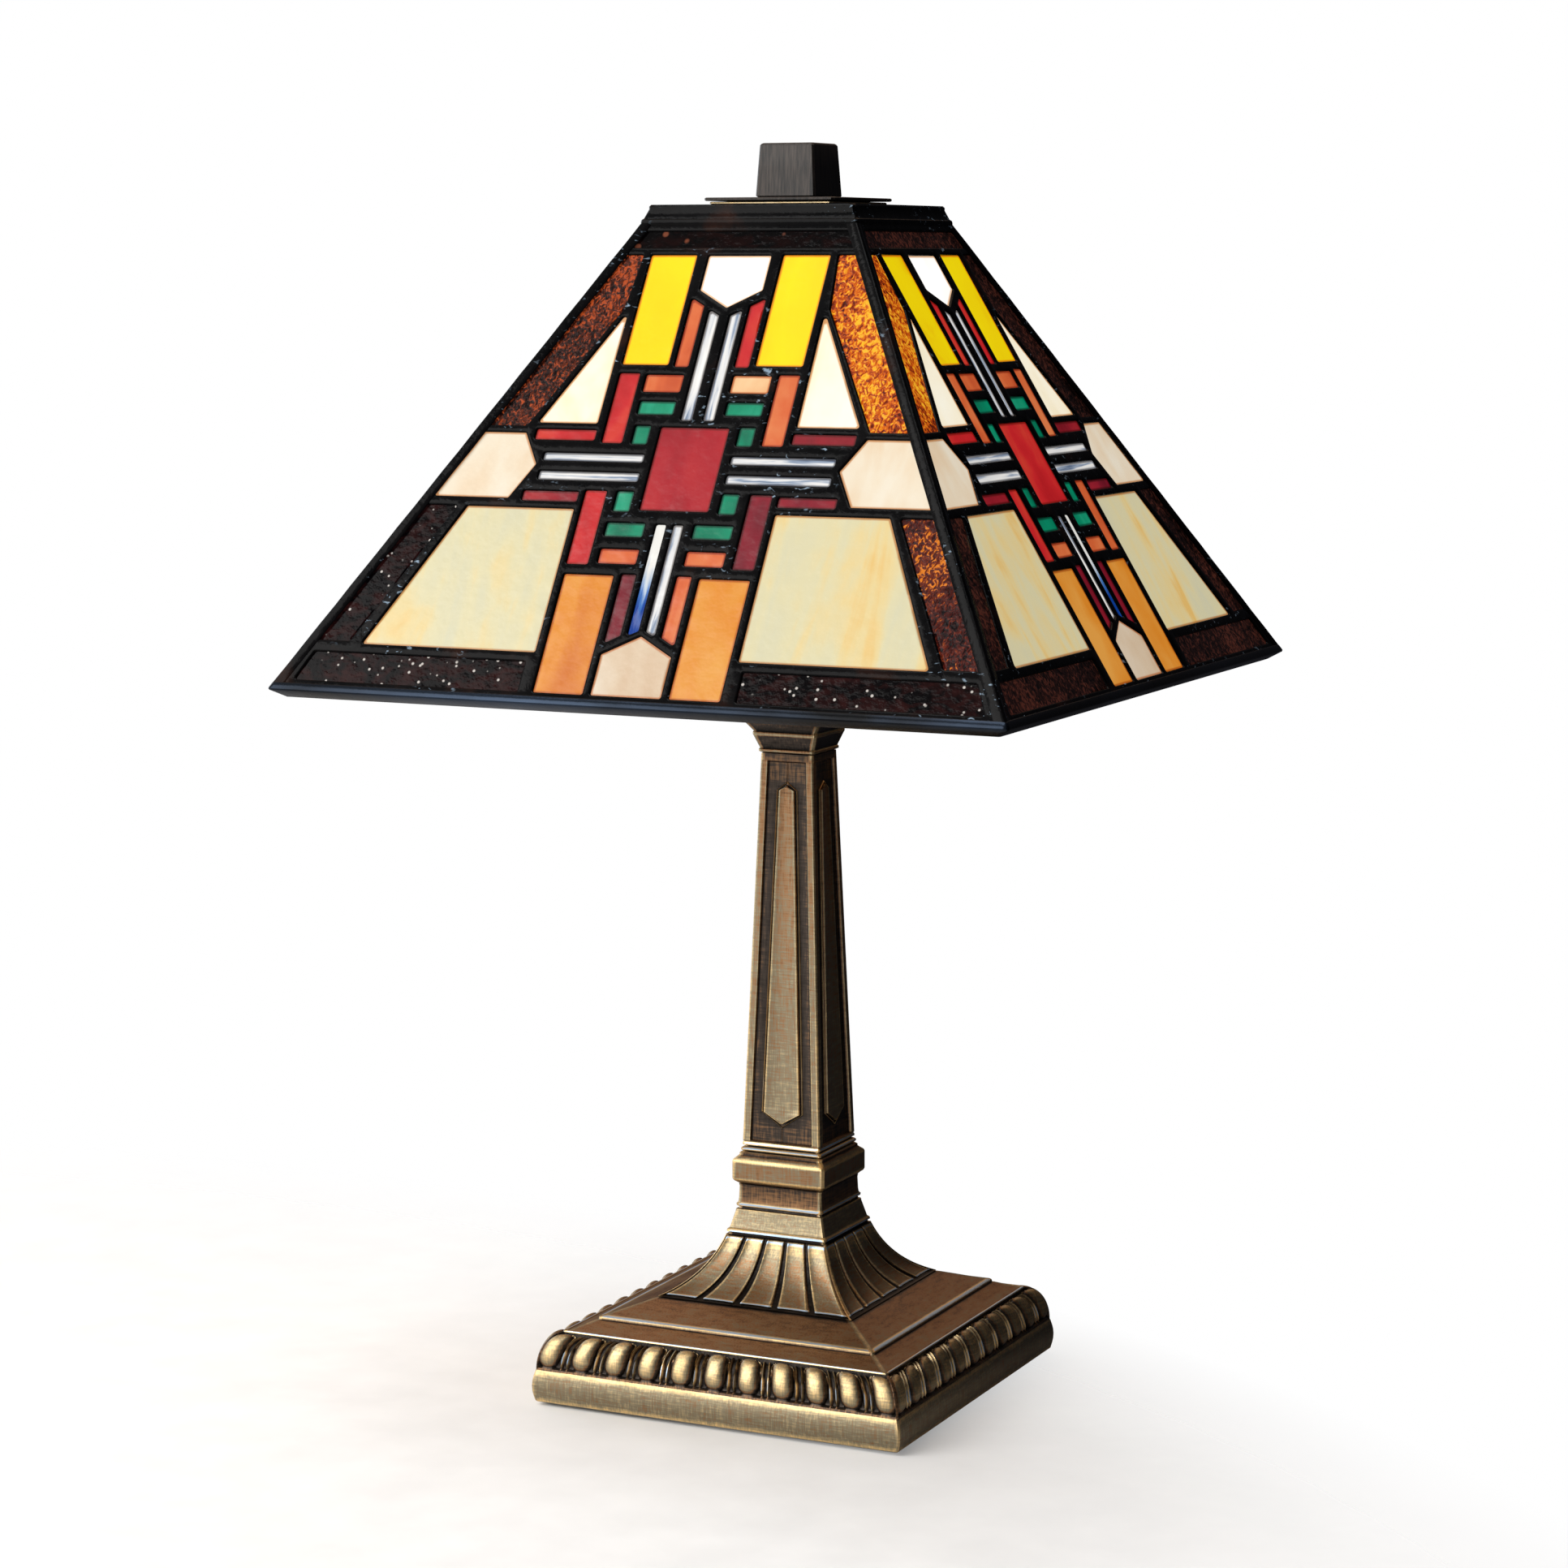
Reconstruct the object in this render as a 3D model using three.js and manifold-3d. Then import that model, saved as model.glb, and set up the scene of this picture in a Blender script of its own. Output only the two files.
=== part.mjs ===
// A square stained glass table lamp: a leaded four-sided shade on a harp, over a tapered bronze column and foot.
// Millimetres, +Z up. The origin is at the centre of the underside that the lamp stands on.

import * as THREE from "three";
import { mergeVertices } from "three/addons/utils/BufferGeometryUtils.js";
import Module from "manifold-3d";

const wasm = await Module();
wasm.setup();

// ---- Clearances -------------------------------------------------------------------------------------------------

const seatGap = 0.3; // between two faces that rest on each other
const boreGap = 0.3; // round a rod in its hole, on the radius
const cutMargin = 5; // how far a cutting tool runs past the face that it cuts

// ---- Foot -------------------------------------------------------------------------------------------------------

const feltThickness = 2;
const feltProud = 1; // how far the felt stands below the metal
const feltInset = 3.1; // from the foot's bottom edge
const plinthHalf = 80.4; // half the width across the plinth's bulge
const plinthBulge = 1.3;
const plinthHeight = 13.1;
const mouldingHeight = 14.5;
const mouldingDepth = 9.4;
const lowerStepRun = 11.5;
const lowerStepRise = 5;
const upperStepRun = 16.7;
const upperStepRise = 5.7;
const pedestalTopHalf = 21.9;
const pedestalHeight = 24.4;
const pedestalHollow = 0.44; // how far the pedestal's flare bows in, from 0, straight, to 1, square
const bandHeight = 9.3;
const bandTopHalf = 19;
const neckHeight = 9.8;
const neckHalf = 18.4;
const castWall = 4.2;
const flareWall = 5.5; // the pedestal's wall, measured level
const plugHeight = 2; // the pedestal's hollow ends this far above its flare

// ---- Weight and bottom fastening --------------------------------------------------------------------------------

const weightHalf = 50;
const weightThickness = 12;
const washerThickness = 1.5;
const bottomWasherRadius = 14;
const nutHeight = 4.6;
const nutFlats = 14.3;
const pipeRadius = 5.1;
const pipeWall = 1.6;
const pipeEnd = 1.2; // how far the pipe stands out of a nut

// ---- Cord bushing -----------------------------------------------------------------------------------------------

const bushingRadius = 5;
const bushingBoreRadius = 3.3;
const bushingFlangeRadius = 6.6;
const bushingFlange = 1.4;
const bushingTail = 1.5; // how far it stands into the hollow

// ---- Stem -------------------------------------------------------------------------------------------------------

const collarHeight = 13;
const collarHalf = 20.5;
const collarEdge = 1.7; // how far the collar's rounded edges draw in
const columnHeight = 161.7;
const columnFootHalf = 17.3;
const columnTopHalf = 11.4;
const columnWall = 2.2;
const capitalHeight = 18.3;
const capitalHalf = 17.6;
const coveHeight = 7.9;
const coveFlare = 2.4;

// ---- Socket and switch ------------------------------------------------------------------------------------------

const capitalWasherRadius = 12;
const socketRadius = 17.7;
const socketWall = 1;
const socketHeight = 47.5;
const capRimRadius = socketRadius + boreGap + socketWall;
const capHubRadius = 8.5;
const capHubHeight = 4.5;
const capDomeHeight = 10.5;
const capRimHeight = 5.2;
const sleeveWall = 0.7;
const blockRadius = 14.5;
const blockHeight = 14;
const screwShellRadius = 14.4;
const screwShellWall = 0.6;
const screwShellHeight = 25.7;
const contactRadius = 2.6;
const contactHeight = 1;
const shaftRadius = 1.6;
const shaftLength = 27;
const shaftStart = 4; // from the socket's axis
const shaftRise = 4.7; // above the socket cap's rim
const knobRadius = 7;
const knobLength = 9.5;

// ---- Bulb -------------------------------------------------------------------------------------------------------

const bulbRadius = 30;
const bulbLength = 108;
const bulbNeckRadius = 14.5;
const bulbBaseRadius = 13.2;
const bulbBaseHeight = 20;
const bulbBaseWall = 0.8;
const bulbGlassWall = 1;
const tipRadius = 4.2;
const tipHeight = 1.6;
const buttonHeight = 4.4;

// ---- Harp -------------------------------------------------------------------------------------------------------

const harpHeight = 188.1; // from the saddle's underside to the middle of the wire at the top
const harpHalfWidth = 54.5;
const harpWireRadius = 2;
const legStraight = 26;
const saddleThickness = 1.6;
const saddleWidth = 16;
const saddleClearance = 3; // from the socket cap's rim to the harp's sleeves
const saddleArmHeight = 7;
const prongWidth = 3.6;
const prongHeight = 10;
const harpSleeveLength = 14;
const harpSleeveWall = 1.1;
const harpSleeveTravel = 12;
const eyeletRadius = 8;
const studRadius = 3.1;
const studSeatRadius = 10;
const studSeatHeight = 3;
const studHeadRadius = 5.5;
const studHeadHeight = 2;
const studLength = 16.5; // above the seat

// ---- Shade ------------------------------------------------------------------------------------------------------

const shadeBottomHalf = 152.4;
const shadeTopHalf = 46.3;
const shadeRise = 176;
const crownRise = 7.1;
const crownTopHalf = 43.4;
const crownWall = 2;
const topPlateThickness = 1.8;
const ventRadius = 3.2;
const ventPitch = 16;
const ventsPerSide = 3;
const rimHeight = 3;
const hipLeg = 4;
const hipThickness = 0.7;
const leadThickness = 1.5;
const glassThickness = 3;
const lowerCapHalf = 26.5;
const lowerCapThickness = 1;
const upperCapHalf = 28;
const upperCapThickness = 1.3;

// ---- Finial -----------------------------------------------------------------------------------------------------

const finialHeight = 20.9;
const finialBottomHalf = 12.9;
const finialTopHalf = 11.7;
const finialBevel = 1;
const insertWall = 1.6;
const insertLength = 13;

// ---- Levels, worked out from the sizes above, from the floor up -------------------------------------------------

const footBottom = feltProud;
const plinthTop = footBottom + plinthHeight;
const mouldingTop = plinthTop + mouldingHeight;
const lowerStepTop = mouldingTop + lowerStepRise;
const upperStepTop = lowerStepTop + upperStepRise;
const pedestalBottom = upperStepTop + seatGap;
const pedestalTop = pedestalBottom + pedestalHeight;
const bandTop = pedestalTop + bandHeight;
const footTop = bandTop + neckHeight;
const hollowCeiling = lowerStepTop - castWall;
const collarBottom = footTop + seatGap;
const columnBottom = collarBottom + collarHeight + seatGap;
const columnTop = columnBottom + columnHeight;
const capitalBottom = columnTop + seatGap;
const capitalTop = capitalBottom + capitalHeight;
const saddleBottom = capitalTop + seatGap + washerThickness + seatGap;
const saddleShoulder = saddleBottom + saddleArmHeight;
const topNutBottom = saddleBottom + saddleThickness + seatGap;
const socketCapBottom = topNutBottom + nutHeight + seatGap;
const capRimBottom = socketCapBottom + capHubHeight + capDomeHeight;
const capTop = capRimBottom + capRimHeight;
const shellBottom = capRimBottom + seatGap;
const shellTop = shellBottom + socketHeight;
const blockBottom = shellBottom + seatGap;
const blockTop = blockBottom + blockHeight;
const screwShellBottom = blockTop + seatGap;
const bulbBottom = screwShellBottom + contactHeight + seatGap;
const shaftLevel = capTop + shaftRise;
const wireTop = saddleBottom + harpHeight;
const studSeatBottom = wireTop + harpWireRadius + seatGap;
const topPlateBottom = studSeatBottom + studSeatHeight + seatGap;
const shadeTop = topPlateBottom + topPlateThickness;
const crownBottom = shadeTop - crownRise;
const shadeBottom = crownBottom - shadeRise;
const lowerCapBottom = shadeTop + seatGap;
const upperCapBottom = lowerCapBottom + lowerCapThickness + seatGap;
const finialBottom = upperCapBottom + upperCapThickness + seatGap;
const pipeBore = pipeRadius + boreGap;
const sleeveBore = Math.max(harpWireRadius, Math.hypot(prongWidth, saddleThickness) / 2) + boreGap;
const sleeveRadius = sleeveBore + harpSleeveWall;
const saddleHalf = capRimRadius + saddleClearance + sleeveRadius; // from the axis to the middle of each arm

// ---- Finishes ---------------------------------------------------------------------------------------------------

const finishes = {
  bronze: { color: 0x8a7442, roughness: 0.42, metalness: 0.9 },
  darkBronze: { color: 0x2c2824, roughness: 0.5, metalness: 0.85 },
  brass: { color: 0xb08d45, roughness: 0.3, metalness: 1 },
  steel: { color: 0x9a9a98, roughness: 0.35, metalness: 1 },
  iron: { color: 0x3a3836, roughness: 0.8, metalness: 0.6 },
  felt: { color: 0x1f3a28, roughness: 1, metalness: 0 },
  lead: { color: 0x17181a, roughness: 0.3, metalness: 0.7 },
  glass: { color: 0xe8d9b0, roughness: 0.15, metalness: 0 },
  bulbGlass: { color: 0xfff4dc, roughness: 0.4, metalness: 0 },
  blackPlastic: { color: 0x141312, roughness: 0.4, metalness: 0 },
  phenolic: { color: 0x3b2a1e, roughness: 0.6, metalness: 0 },
  card: { color: 0x8d7a5c, roughness: 0.9, metalness: 0 },
  tin: { color: 0xb9bbbd, roughness: 0.35, metalness: 1 },
};

function addPiece(parent, name, geometry, finish) {
  const mesh = new THREE.Mesh(geometry, new THREE.MeshStandardMaterial(finishes[finish]));
  mesh.name = name;
  parent.add(mesh);
  return mesh;
}

// ---- Shape helpers ----------------------------------------------------------------------------------------------

const roundSides = 24;
const smallSides = 16;

// A profile of [radius, height] points, upwards on the outside and downwards on the inside, turned about Z.
function turned(profile, sides = roundSides) {
  const points = profile.map(([radius, height]) => new THREE.Vector2(radius, height));
  return new THREE.LatheGeometry(points, sides).rotateX(Math.PI / 2);
}

// The same with a square plan: each point gives half the width across the flats.
function squareTurned(profile) {
  const points = profile.map(([half, height]) => new THREE.Vector2(half * Math.SQRT2, height));
  return new THREE.LatheGeometry(points, 4, Math.PI / 4).rotateX(Math.PI / 2);
}

function disc(radius, bottom, top, sides = roundSides) {
  return turned([[0, bottom], [radius, bottom], [radius, top], [0, top]], sides);
}

function ring(inner, outer, bottom, top, sides = roundSides) {
  return turned([[inner, bottom], [outer, bottom], [outer, top], [inner, top], [inner, bottom]], sides);
}

function squareBlock(half, bottom, top) {
  return squareTurned([[0, bottom], [half, bottom], [half, top], [0, top]]);
}

function toSolid(geometry) {
  const bare = geometry.index ? geometry.toNonIndexed() : geometry.clone();
  bare.deleteAttribute("normal");
  bare.deleteAttribute("uv");
  const merged = mergeVertices(bare, 1e-4);
  const vertProperties = merged.attributes.position.array;
  const triVerts = new Uint32Array(merged.index.array);
  return new wasm.Manifold(new wasm.Mesh({ numProp: 3, vertProperties, triVerts }));
}

function toGeometry(solid) {
  const mesh = solid.getMesh();
  const geometry = new THREE.BufferGeometry();
  geometry.setAttribute("position", new THREE.BufferAttribute(mesh.vertProperties, 3));
  geometry.setIndex(new THREE.BufferAttribute(mesh.triVerts, 1));
  geometry.computeVertexNormals();
  return geometry;
}

function cut(body, ...tools) {
  return toGeometry(tools.reduce((left, tool) => left.subtract(toSolid(tool)), toSolid(body)));
}

function join(body, ...others) {
  return toGeometry(others.reduce((sum, other) => sum.add(toSolid(other)), toSolid(body)));
}

function pipeHole(bottom, top) {
  return disc(pipeBore, bottom - cutMargin, top + cutMargin, smallSides);
}

function hexNut(bottom) {
  const corner = nutFlats / 2 / Math.cos(Math.PI / 6);
  const hexagon = turned([[0, bottom], [corner, bottom], [corner, bottom + nutHeight], [0, bottom + nutHeight]], 6);
  return cut(hexagon, pipeHole(bottom, bottom + nutHeight));
}

// ---- Foot -------------------------------------------------------------------------------------------------------

const arcSteps = 6;
const plinthEdgeHalf = plinthHalf - plinthBulge;
const mouldingTopHalf = plinthHalf - mouldingDepth;
const lowerStepTopHalf = mouldingTopHalf - lowerStepRun;
const pedestalFootHalf = lowerStepTopHalf - upperStepRun;
const bushingLevel = footBottom + plinthHeight / 2;

function bulgeOutline() {
  const points = [];
  for (let i = 0; i <= arcSteps; i += 1) {
    const along = i / arcSteps;
    points.push([plinthEdgeHalf + plinthBulge * Math.sin(Math.PI * along), footBottom + plinthHeight * along]);
  }
  return points;
}

function mouldingOutline() {
  const points = [];
  for (let i = 1; i <= arcSteps; i += 1) {
    const angle = (i / arcSteps) * (Math.PI / 2);
    const depth = plinthEdgeHalf - mouldingTopHalf;
    points.push([mouldingTopHalf + depth * Math.cos(angle), plinthTop + mouldingHeight * Math.sin(angle)]);
  }
  return points;
}

function flareOutline() {
  const foot = new THREE.Vector2(pedestalFootHalf, pedestalBottom);
  const top = new THREE.Vector2(pedestalTopHalf, pedestalTop);
  const corner = new THREE.Vector2(pedestalTopHalf, pedestalBottom);
  const pull = foot.clone().lerp(top, 0.5).lerp(corner, pedestalHollow);
  const flare = new THREE.QuadraticBezierCurve(foot, pull, top);
  return flare.getPoints(arcSteps + 2).map((point) => [point.x, point.y]);
}

function footGeometry() {
  const outside = squareTurned([
    [0, footBottom],
    ...bulgeOutline(),
    ...mouldingOutline(),
    [lowerStepTopHalf, lowerStepTop],
    [pedestalFootHalf, upperStepTop],
    [0, upperStepTop],
  ]);
  const hollow = squareTurned([
    [0, footBottom - cutMargin],
    [plinthEdgeHalf - castWall, footBottom - cutMargin],
    [plinthEdgeHalf - castWall, plinthTop],
    [mouldingTopHalf - castWall, mouldingTop - castWall],
    [lowerStepTopHalf - castWall, hollowCeiling],
    [0, hollowCeiling],
  ]);
  const feltRecess = squareBlock(
    plinthEdgeHalf - feltInset + seatGap,
    footBottom - cutMargin,
    feltThickness + seatGap,
  );
  const cordHole = disc(bushingRadius + boreGap, plinthHalf / 2, plinthHalf + cutMargin, smallSides);
  cordHole.rotateX(-Math.PI / 2).translate(0, 0, bushingLevel);
  const flangeRecess = disc(
    bushingFlangeRadius + boreGap,
    plinthHalf - bushingFlange - seatGap,
    plinthHalf + cutMargin,
    smallSides,
  );
  flangeRecess.rotateX(-Math.PI / 2).translate(0, 0, bushingLevel);
  return cut(outside, hollow, feltRecess, pipeHole(hollowCeiling, upperStepTop), cordHole, flangeRecess);
}

function pedestalGeometry() {
  const flare = flareOutline();
  const flareInside = flare.map(([half, height]) => [half - flareWall, height]);
  const hollowTop = pedestalTop + plugHeight;
  const outside = squareTurned([
    [0, pedestalBottom],
    ...flare,
    [bandTopHalf, bandTop],
    [neckHalf, bandTop + neckHeight / 2],
    [neckHalf, footTop],
    [0, footTop],
  ]);
  const hollow = squareTurned([
    [0, pedestalBottom - cutMargin],
    [flareInside[0][0], pedestalBottom - cutMargin],
    ...flareInside,
    [flareInside.at(-1)[0], hollowTop],
    [0, hollowTop],
  ]);
  return cut(outside, hollow, pipeHole(hollowTop, footTop));
}

function bushingGeometry() {
  const wallInside = plinthEdgeHalf - castWall;
  const start = wallInside - bushingTail;
  const flangeStart = plinthHalf - bushingFlange;
  const profile = [
    [bushingBoreRadius, start],
    [bushingRadius, start],
    [bushingRadius, flangeStart],
    [bushingFlangeRadius, flangeStart],
    [bushingFlangeRadius, plinthHalf],
    [bushingBoreRadius, plinthHalf],
    [bushingBoreRadius, start],
  ];
  return turned(profile, smallSides).rotateX(-Math.PI / 2);
}

function boredSquare(half, bottom, top) {
  return cut(squareBlock(half, bottom, top), pipeHole(bottom, top));
}

const weightTop = hollowCeiling - seatGap;
const weightBottom = weightTop - weightThickness;
const bottomWasherBottom = weightBottom - seatGap - washerThickness;
const bottomNutBottom = bottomWasherBottom - seatGap - nutHeight;

const lamp = new THREE.Group();
addPiece(lamp, "felt_pad", squareBlock(plinthEdgeHalf - feltInset, 0, feltThickness), "felt");
addPiece(lamp, "base_foot", footGeometry(), "bronze");
addPiece(lamp, "pedestal", pedestalGeometry(), "bronze");
addPiece(lamp, "base_weight", boredSquare(weightHalf, weightBottom, weightTop), "iron");
addPiece(
  lamp,
  "bottom_washer",
  ring(pipeBore, bottomWasherRadius, bottomWasherBottom, bottomWasherBottom + washerThickness),
  "steel",
);
addPiece(lamp, "bottom_nut", hexNut(bottomNutBottom), "steel");
const bushing = addPiece(lamp, "cord_bushing", bushingGeometry(), "blackPlastic");
bushing.position.z = bushingLevel;

// ---- Stem: collar, column and capital, threaded on one pipe --------------------------------------------------------

function collarGeometry() {
  const edge = collarHalf - collarEdge;
  const top = collarBottom + collarHeight;
  const profile = [
    [0, collarBottom],
    [edge, collarBottom],
    [collarHalf, collarBottom + collarEdge],
    [collarHalf, top - 2 * collarEdge],
    [edge, top - collarEdge],
    [edge - collarEdge / 2, top],
    [0, top],
  ];
  return cut(squareTurned(profile), pipeHole(collarBottom, top));
}

function columnGeometry() {
  return squareTurned([
    [columnFootHalf - columnWall, columnBottom],
    [columnFootHalf, columnBottom],
    [columnTopHalf, columnTop],
    [columnTopHalf - columnWall, columnTop],
    [columnFootHalf - columnWall, columnBottom],
  ]);
}

function capitalGeometry() {
  const coveTop = capitalBottom + coveHeight;
  const coveHalf = columnTopHalf + coveFlare;
  const abacusBottom = capitalTop - (capitalHeight - coveHeight) / 2;
  const profile = [
    [0, capitalBottom],
    [columnTopHalf, capitalBottom],
    [columnTopHalf + coveFlare * 0.8, capitalBottom + coveHeight * 0.55],
    [coveHalf, coveTop],
    [(coveHalf + capitalHalf) / 2, coveTop + (abacusBottom - coveTop) * 0.4],
    [capitalHalf, abacusBottom],
    [capitalHalf, capitalTop],
    [0, capitalTop],
  ];
  return cut(squareTurned(profile), pipeHole(capitalBottom, capitalTop));
}

const pipeBottom = bottomNutBottom - pipeEnd;
const pipeTop = socketCapBottom + capHubHeight + pipeEnd;
const capitalWasherBottom = capitalTop + seatGap;

addPiece(lamp, "stem_collar", collarGeometry(), "bronze");
addPiece(lamp, "column", columnGeometry(), "bronze");
addPiece(lamp, "capital", capitalGeometry(), "darkBronze");
addPiece(lamp, "lamp_pipe", ring(pipeRadius - pipeWall, pipeRadius, pipeBottom, pipeTop, smallSides), "steel");
addPiece(
  lamp,
  "capital_washer",
  ring(pipeBore, capitalWasherRadius, capitalWasherBottom, capitalWasherBottom + washerThickness),
  "brass",
);

// ---- Harp: saddle, nut, wire bow, locking sleeves and stud -------------------------------------------------------

function saddleGeometry() {
  const inner = saddleHalf - saddleThickness / 2;
  const outer = saddleHalf + saddleThickness / 2;
  const outline = new THREE.Shape([
    new THREE.Vector2(-outer, saddleBottom),
    new THREE.Vector2(outer, saddleBottom),
    new THREE.Vector2(outer, saddleShoulder),
    new THREE.Vector2(inner, saddleShoulder),
    new THREE.Vector2(inner, saddleBottom + saddleThickness),
    new THREE.Vector2(-inner, saddleBottom + saddleThickness),
    new THREE.Vector2(-inner, saddleShoulder),
    new THREE.Vector2(-outer, saddleShoulder),
  ]);
  const strap = new THREE.ExtrudeGeometry(outline, { depth: saddleWidth, bevelEnabled: false });
  strap.rotateX(Math.PI / 2).translate(0, saddleWidth / 2, 0);
  const prongs = [-1, 1].map((side) => {
    const prong = new THREE.BoxGeometry(saddleThickness, prongWidth, prongHeight + saddleThickness);
    return prong.translate(side * saddleHalf, 0, saddleShoulder + (prongHeight - saddleThickness) / 2);
  });
  const bored = cut(strap, pipeHole(saddleBottom, saddleBottom + saddleThickness));
  return join(bored, ...prongs);
}

const legBottom = saddleShoulder + prongHeight + seatGap;
const legTop = legBottom + legStraight;
const bowMiddle = (legTop + wireTop) / 2 - harpHalfWidth / 4;

// The harp's wire, up one leg, round the bow and down the other leg.
function harpPath() {
  const at = (x, z) => new THREE.Vector3(x, 0, z);
  const path = new THREE.CurvePath();
  const flareRise = bowMiddle - legTop;
  const crownRun = wireTop - bowMiddle;
  path.add(new THREE.LineCurve3(at(-saddleHalf, legBottom), at(-saddleHalf, legTop)));
  path.add(
    new THREE.CubicBezierCurve3(
      at(-saddleHalf, legTop),
      at(-saddleHalf, legTop + flareRise * 0.35),
      at(-harpHalfWidth, bowMiddle - flareRise * 0.55),
      at(-harpHalfWidth, bowMiddle),
    ),
  );
  path.add(
    new THREE.CubicBezierCurve3(
      at(-harpHalfWidth, bowMiddle),
      at(-harpHalfWidth, bowMiddle + crownRun * 0.52),
      at(-harpHalfWidth * 0.64, wireTop),
      at(-eyeletRadius / 2, wireTop),
    ),
  );
  path.add(new THREE.LineCurve3(at(-eyeletRadius / 2, wireTop), at(eyeletRadius / 2, wireTop)));
  path.add(
    new THREE.CubicBezierCurve3(
      at(eyeletRadius / 2, wireTop),
      at(harpHalfWidth * 0.64, wireTop),
      at(harpHalfWidth, bowMiddle + crownRun * 0.52),
      at(harpHalfWidth, bowMiddle),
    ),
  );
  path.add(
    new THREE.CubicBezierCurve3(
      at(harpHalfWidth, bowMiddle),
      at(harpHalfWidth, bowMiddle - flareRise * 0.55),
      at(saddleHalf, legTop + flareRise * 0.35),
      at(saddleHalf, legTop),
    ),
  );
  path.add(new THREE.LineCurve3(at(saddleHalf, legTop), at(saddleHalf, legBottom)));
  return path;
}

function harpGeometry() {
  const section = new THREE.Shape();
  section.absarc(0, 0, harpWireRadius, 0, 2 * Math.PI);
  const options = { steps: 64, curveSegments: 4, bevelEnabled: false, extrudePath: harpPath() };
  const wire = new THREE.ExtrudeGeometry(section, options);
  const eyelet = disc(eyeletRadius, wireTop - harpWireRadius, wireTop + harpWireRadius);
  const hole = disc(studRadius + boreGap, wireTop - cutMargin, wireTop + cutMargin, smallSides);
  return cut(join(wire, eyelet), hole);
}

function studGeometry() {
  const headTop = wireTop - harpWireRadius - seatGap;
  const seatTop = studSeatBottom + studSeatHeight;
  return turned([
    [0, headTop - studHeadHeight],
    [studHeadRadius, headTop - studHeadHeight],
    [studHeadRadius, headTop],
    [studRadius, headTop],
    [studRadius, studSeatBottom],
    [studSeatRadius, studSeatBottom],
    [studSeatRadius, seatTop],
    [studRadius, seatTop],
    [studRadius, seatTop + studLength],
    [0, seatTop + studLength],
  ], smallSides);
}

const sleeveBottom = saddleShoulder + seatGap;

addPiece(lamp, "harp_saddle", saddleGeometry(), "brass");
addPiece(lamp, "saddle_nut", hexNut(topNutBottom), "brass");
addPiece(lamp, "harp", harpGeometry(), "brass");
addPiece(lamp, "harp_stud", studGeometry(), "brass");
for (const [name, side] of [["harp_sleeve_left", -1], ["harp_sleeve_right", 1]]) {
  const length = Math.min(harpSleeveLength, legTop - harpSleeveTravel - sleeveBottom);
  const sleeve = addPiece(lamp, name, ring(sleeveBore, sleeveRadius, 0, length, smallSides), "brass");
  sleeve.position.set(side * saddleHalf, 0, sleeveBottom);
}

// ---- Socket and turn switch --------------------------------------------------------------------------------------

function socketCapGeometry() {
  const hubTop = socketCapBottom + capHubHeight;
  const dome = (radius, bottomRadius, bottom) => {
    const points = [];
    for (let i = 0; i <= arcSteps; i += 1) {
      const angle = (i / arcSteps) * (Math.PI / 2);
      points.push([
        bottomRadius + (radius - bottomRadius) * Math.sin(angle),
        bottom + (capRimBottom - bottom) * (1 - Math.cos(angle)),
      ]);
    }
    return points;
  };
  const outside = dome(capRimRadius, capHubRadius, hubTop);
  const inside = dome(capRimRadius - socketWall, capHubRadius, hubTop + socketWall).reverse();
  return turned([
    [pipeBore, socketCapBottom],
    [capHubRadius, socketCapBottom],
    ...outside,
    [capRimRadius, capTop],
    [capRimRadius - socketWall, capTop],
    ...inside,
    [pipeBore, hubTop + socketWall],
    [pipeBore, socketCapBottom],
  ]);
}

// The hole that the switch's shaft passes through, towards the front.
function shaftHole() {
  const hole = disc(shaftRadius + boreGap, shaftStart - seatGap, socketRadius + cutMargin, smallSides);
  return hole.rotateX(Math.PI / 2).translate(0, 0, shaftLevel);
}

function screwShellGeometry() {
  const inner = screwShellRadius - screwShellWall;
  const floor = screwShellBottom + screwShellWall;
  const top = screwShellBottom + screwShellHeight;
  const hole = contactRadius * 2;
  return turned([
    [hole, screwShellBottom],
    [screwShellRadius, screwShellBottom],
    [screwShellRadius, top],
    [inner, top],
    [inner, floor],
    [hole, floor],
    [hole, screwShellBottom],
  ]);
}

const sleeveOuter = socketRadius - socketWall - boreGap;
const shellTube = ring(socketRadius - socketWall, socketRadius, shellBottom, shellTop);
const sleeveTube = ring(sleeveOuter - sleeveWall, sleeveOuter, shellBottom, shellTop - socketWall);
const knobStart = capRimRadius + boreGap;

addPiece(lamp, "socket_cap", socketCapGeometry(), "brass");
addPiece(lamp, "socket_shell", cut(shellTube, shaftHole()), "brass");
addPiece(lamp, "socket_sleeve", cut(sleeveTube, shaftHole()), "card");
addPiece(lamp, "switch_block", cut(disc(blockRadius, blockBottom, blockTop), shaftHole()), "phenolic");
addPiece(lamp, "screw_shell", screwShellGeometry(), "brass");
addPiece(
  lamp,
  "socket_contact",
  disc(contactRadius, screwShellBottom, screwShellBottom + contactHeight, smallSides),
  "brass",
);

const switchTurn = new THREE.Group();
switchTurn.position.z = shaftLevel;
switchTurn.rotation.x = Math.PI / 2;
lamp.add(switchTurn);
const knobBore = shaftRadius + boreGap;
addPiece(switchTurn, "switch_shaft", disc(shaftRadius, shaftStart, shaftStart + shaftLength, smallSides), "brass");
addPiece(
  switchTurn,
  "switch_knob",
  ring(knobBore, knobRadius, knobStart, knobStart + knobLength, smallSides),
  "blackPlastic",
);

// ---- Bulb --------------------------------------------------------------------------------------------------------

const tipTop = bulbBottom + tipHeight;
const bulbShellBottom = tipTop + seatGap + buttonHeight + seatGap;
const bulbShellTop = bulbShellBottom + bulbBaseHeight;
const glassBottom = bulbShellTop + seatGap;
const bulbTop = bulbBottom + bulbLength;

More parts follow.
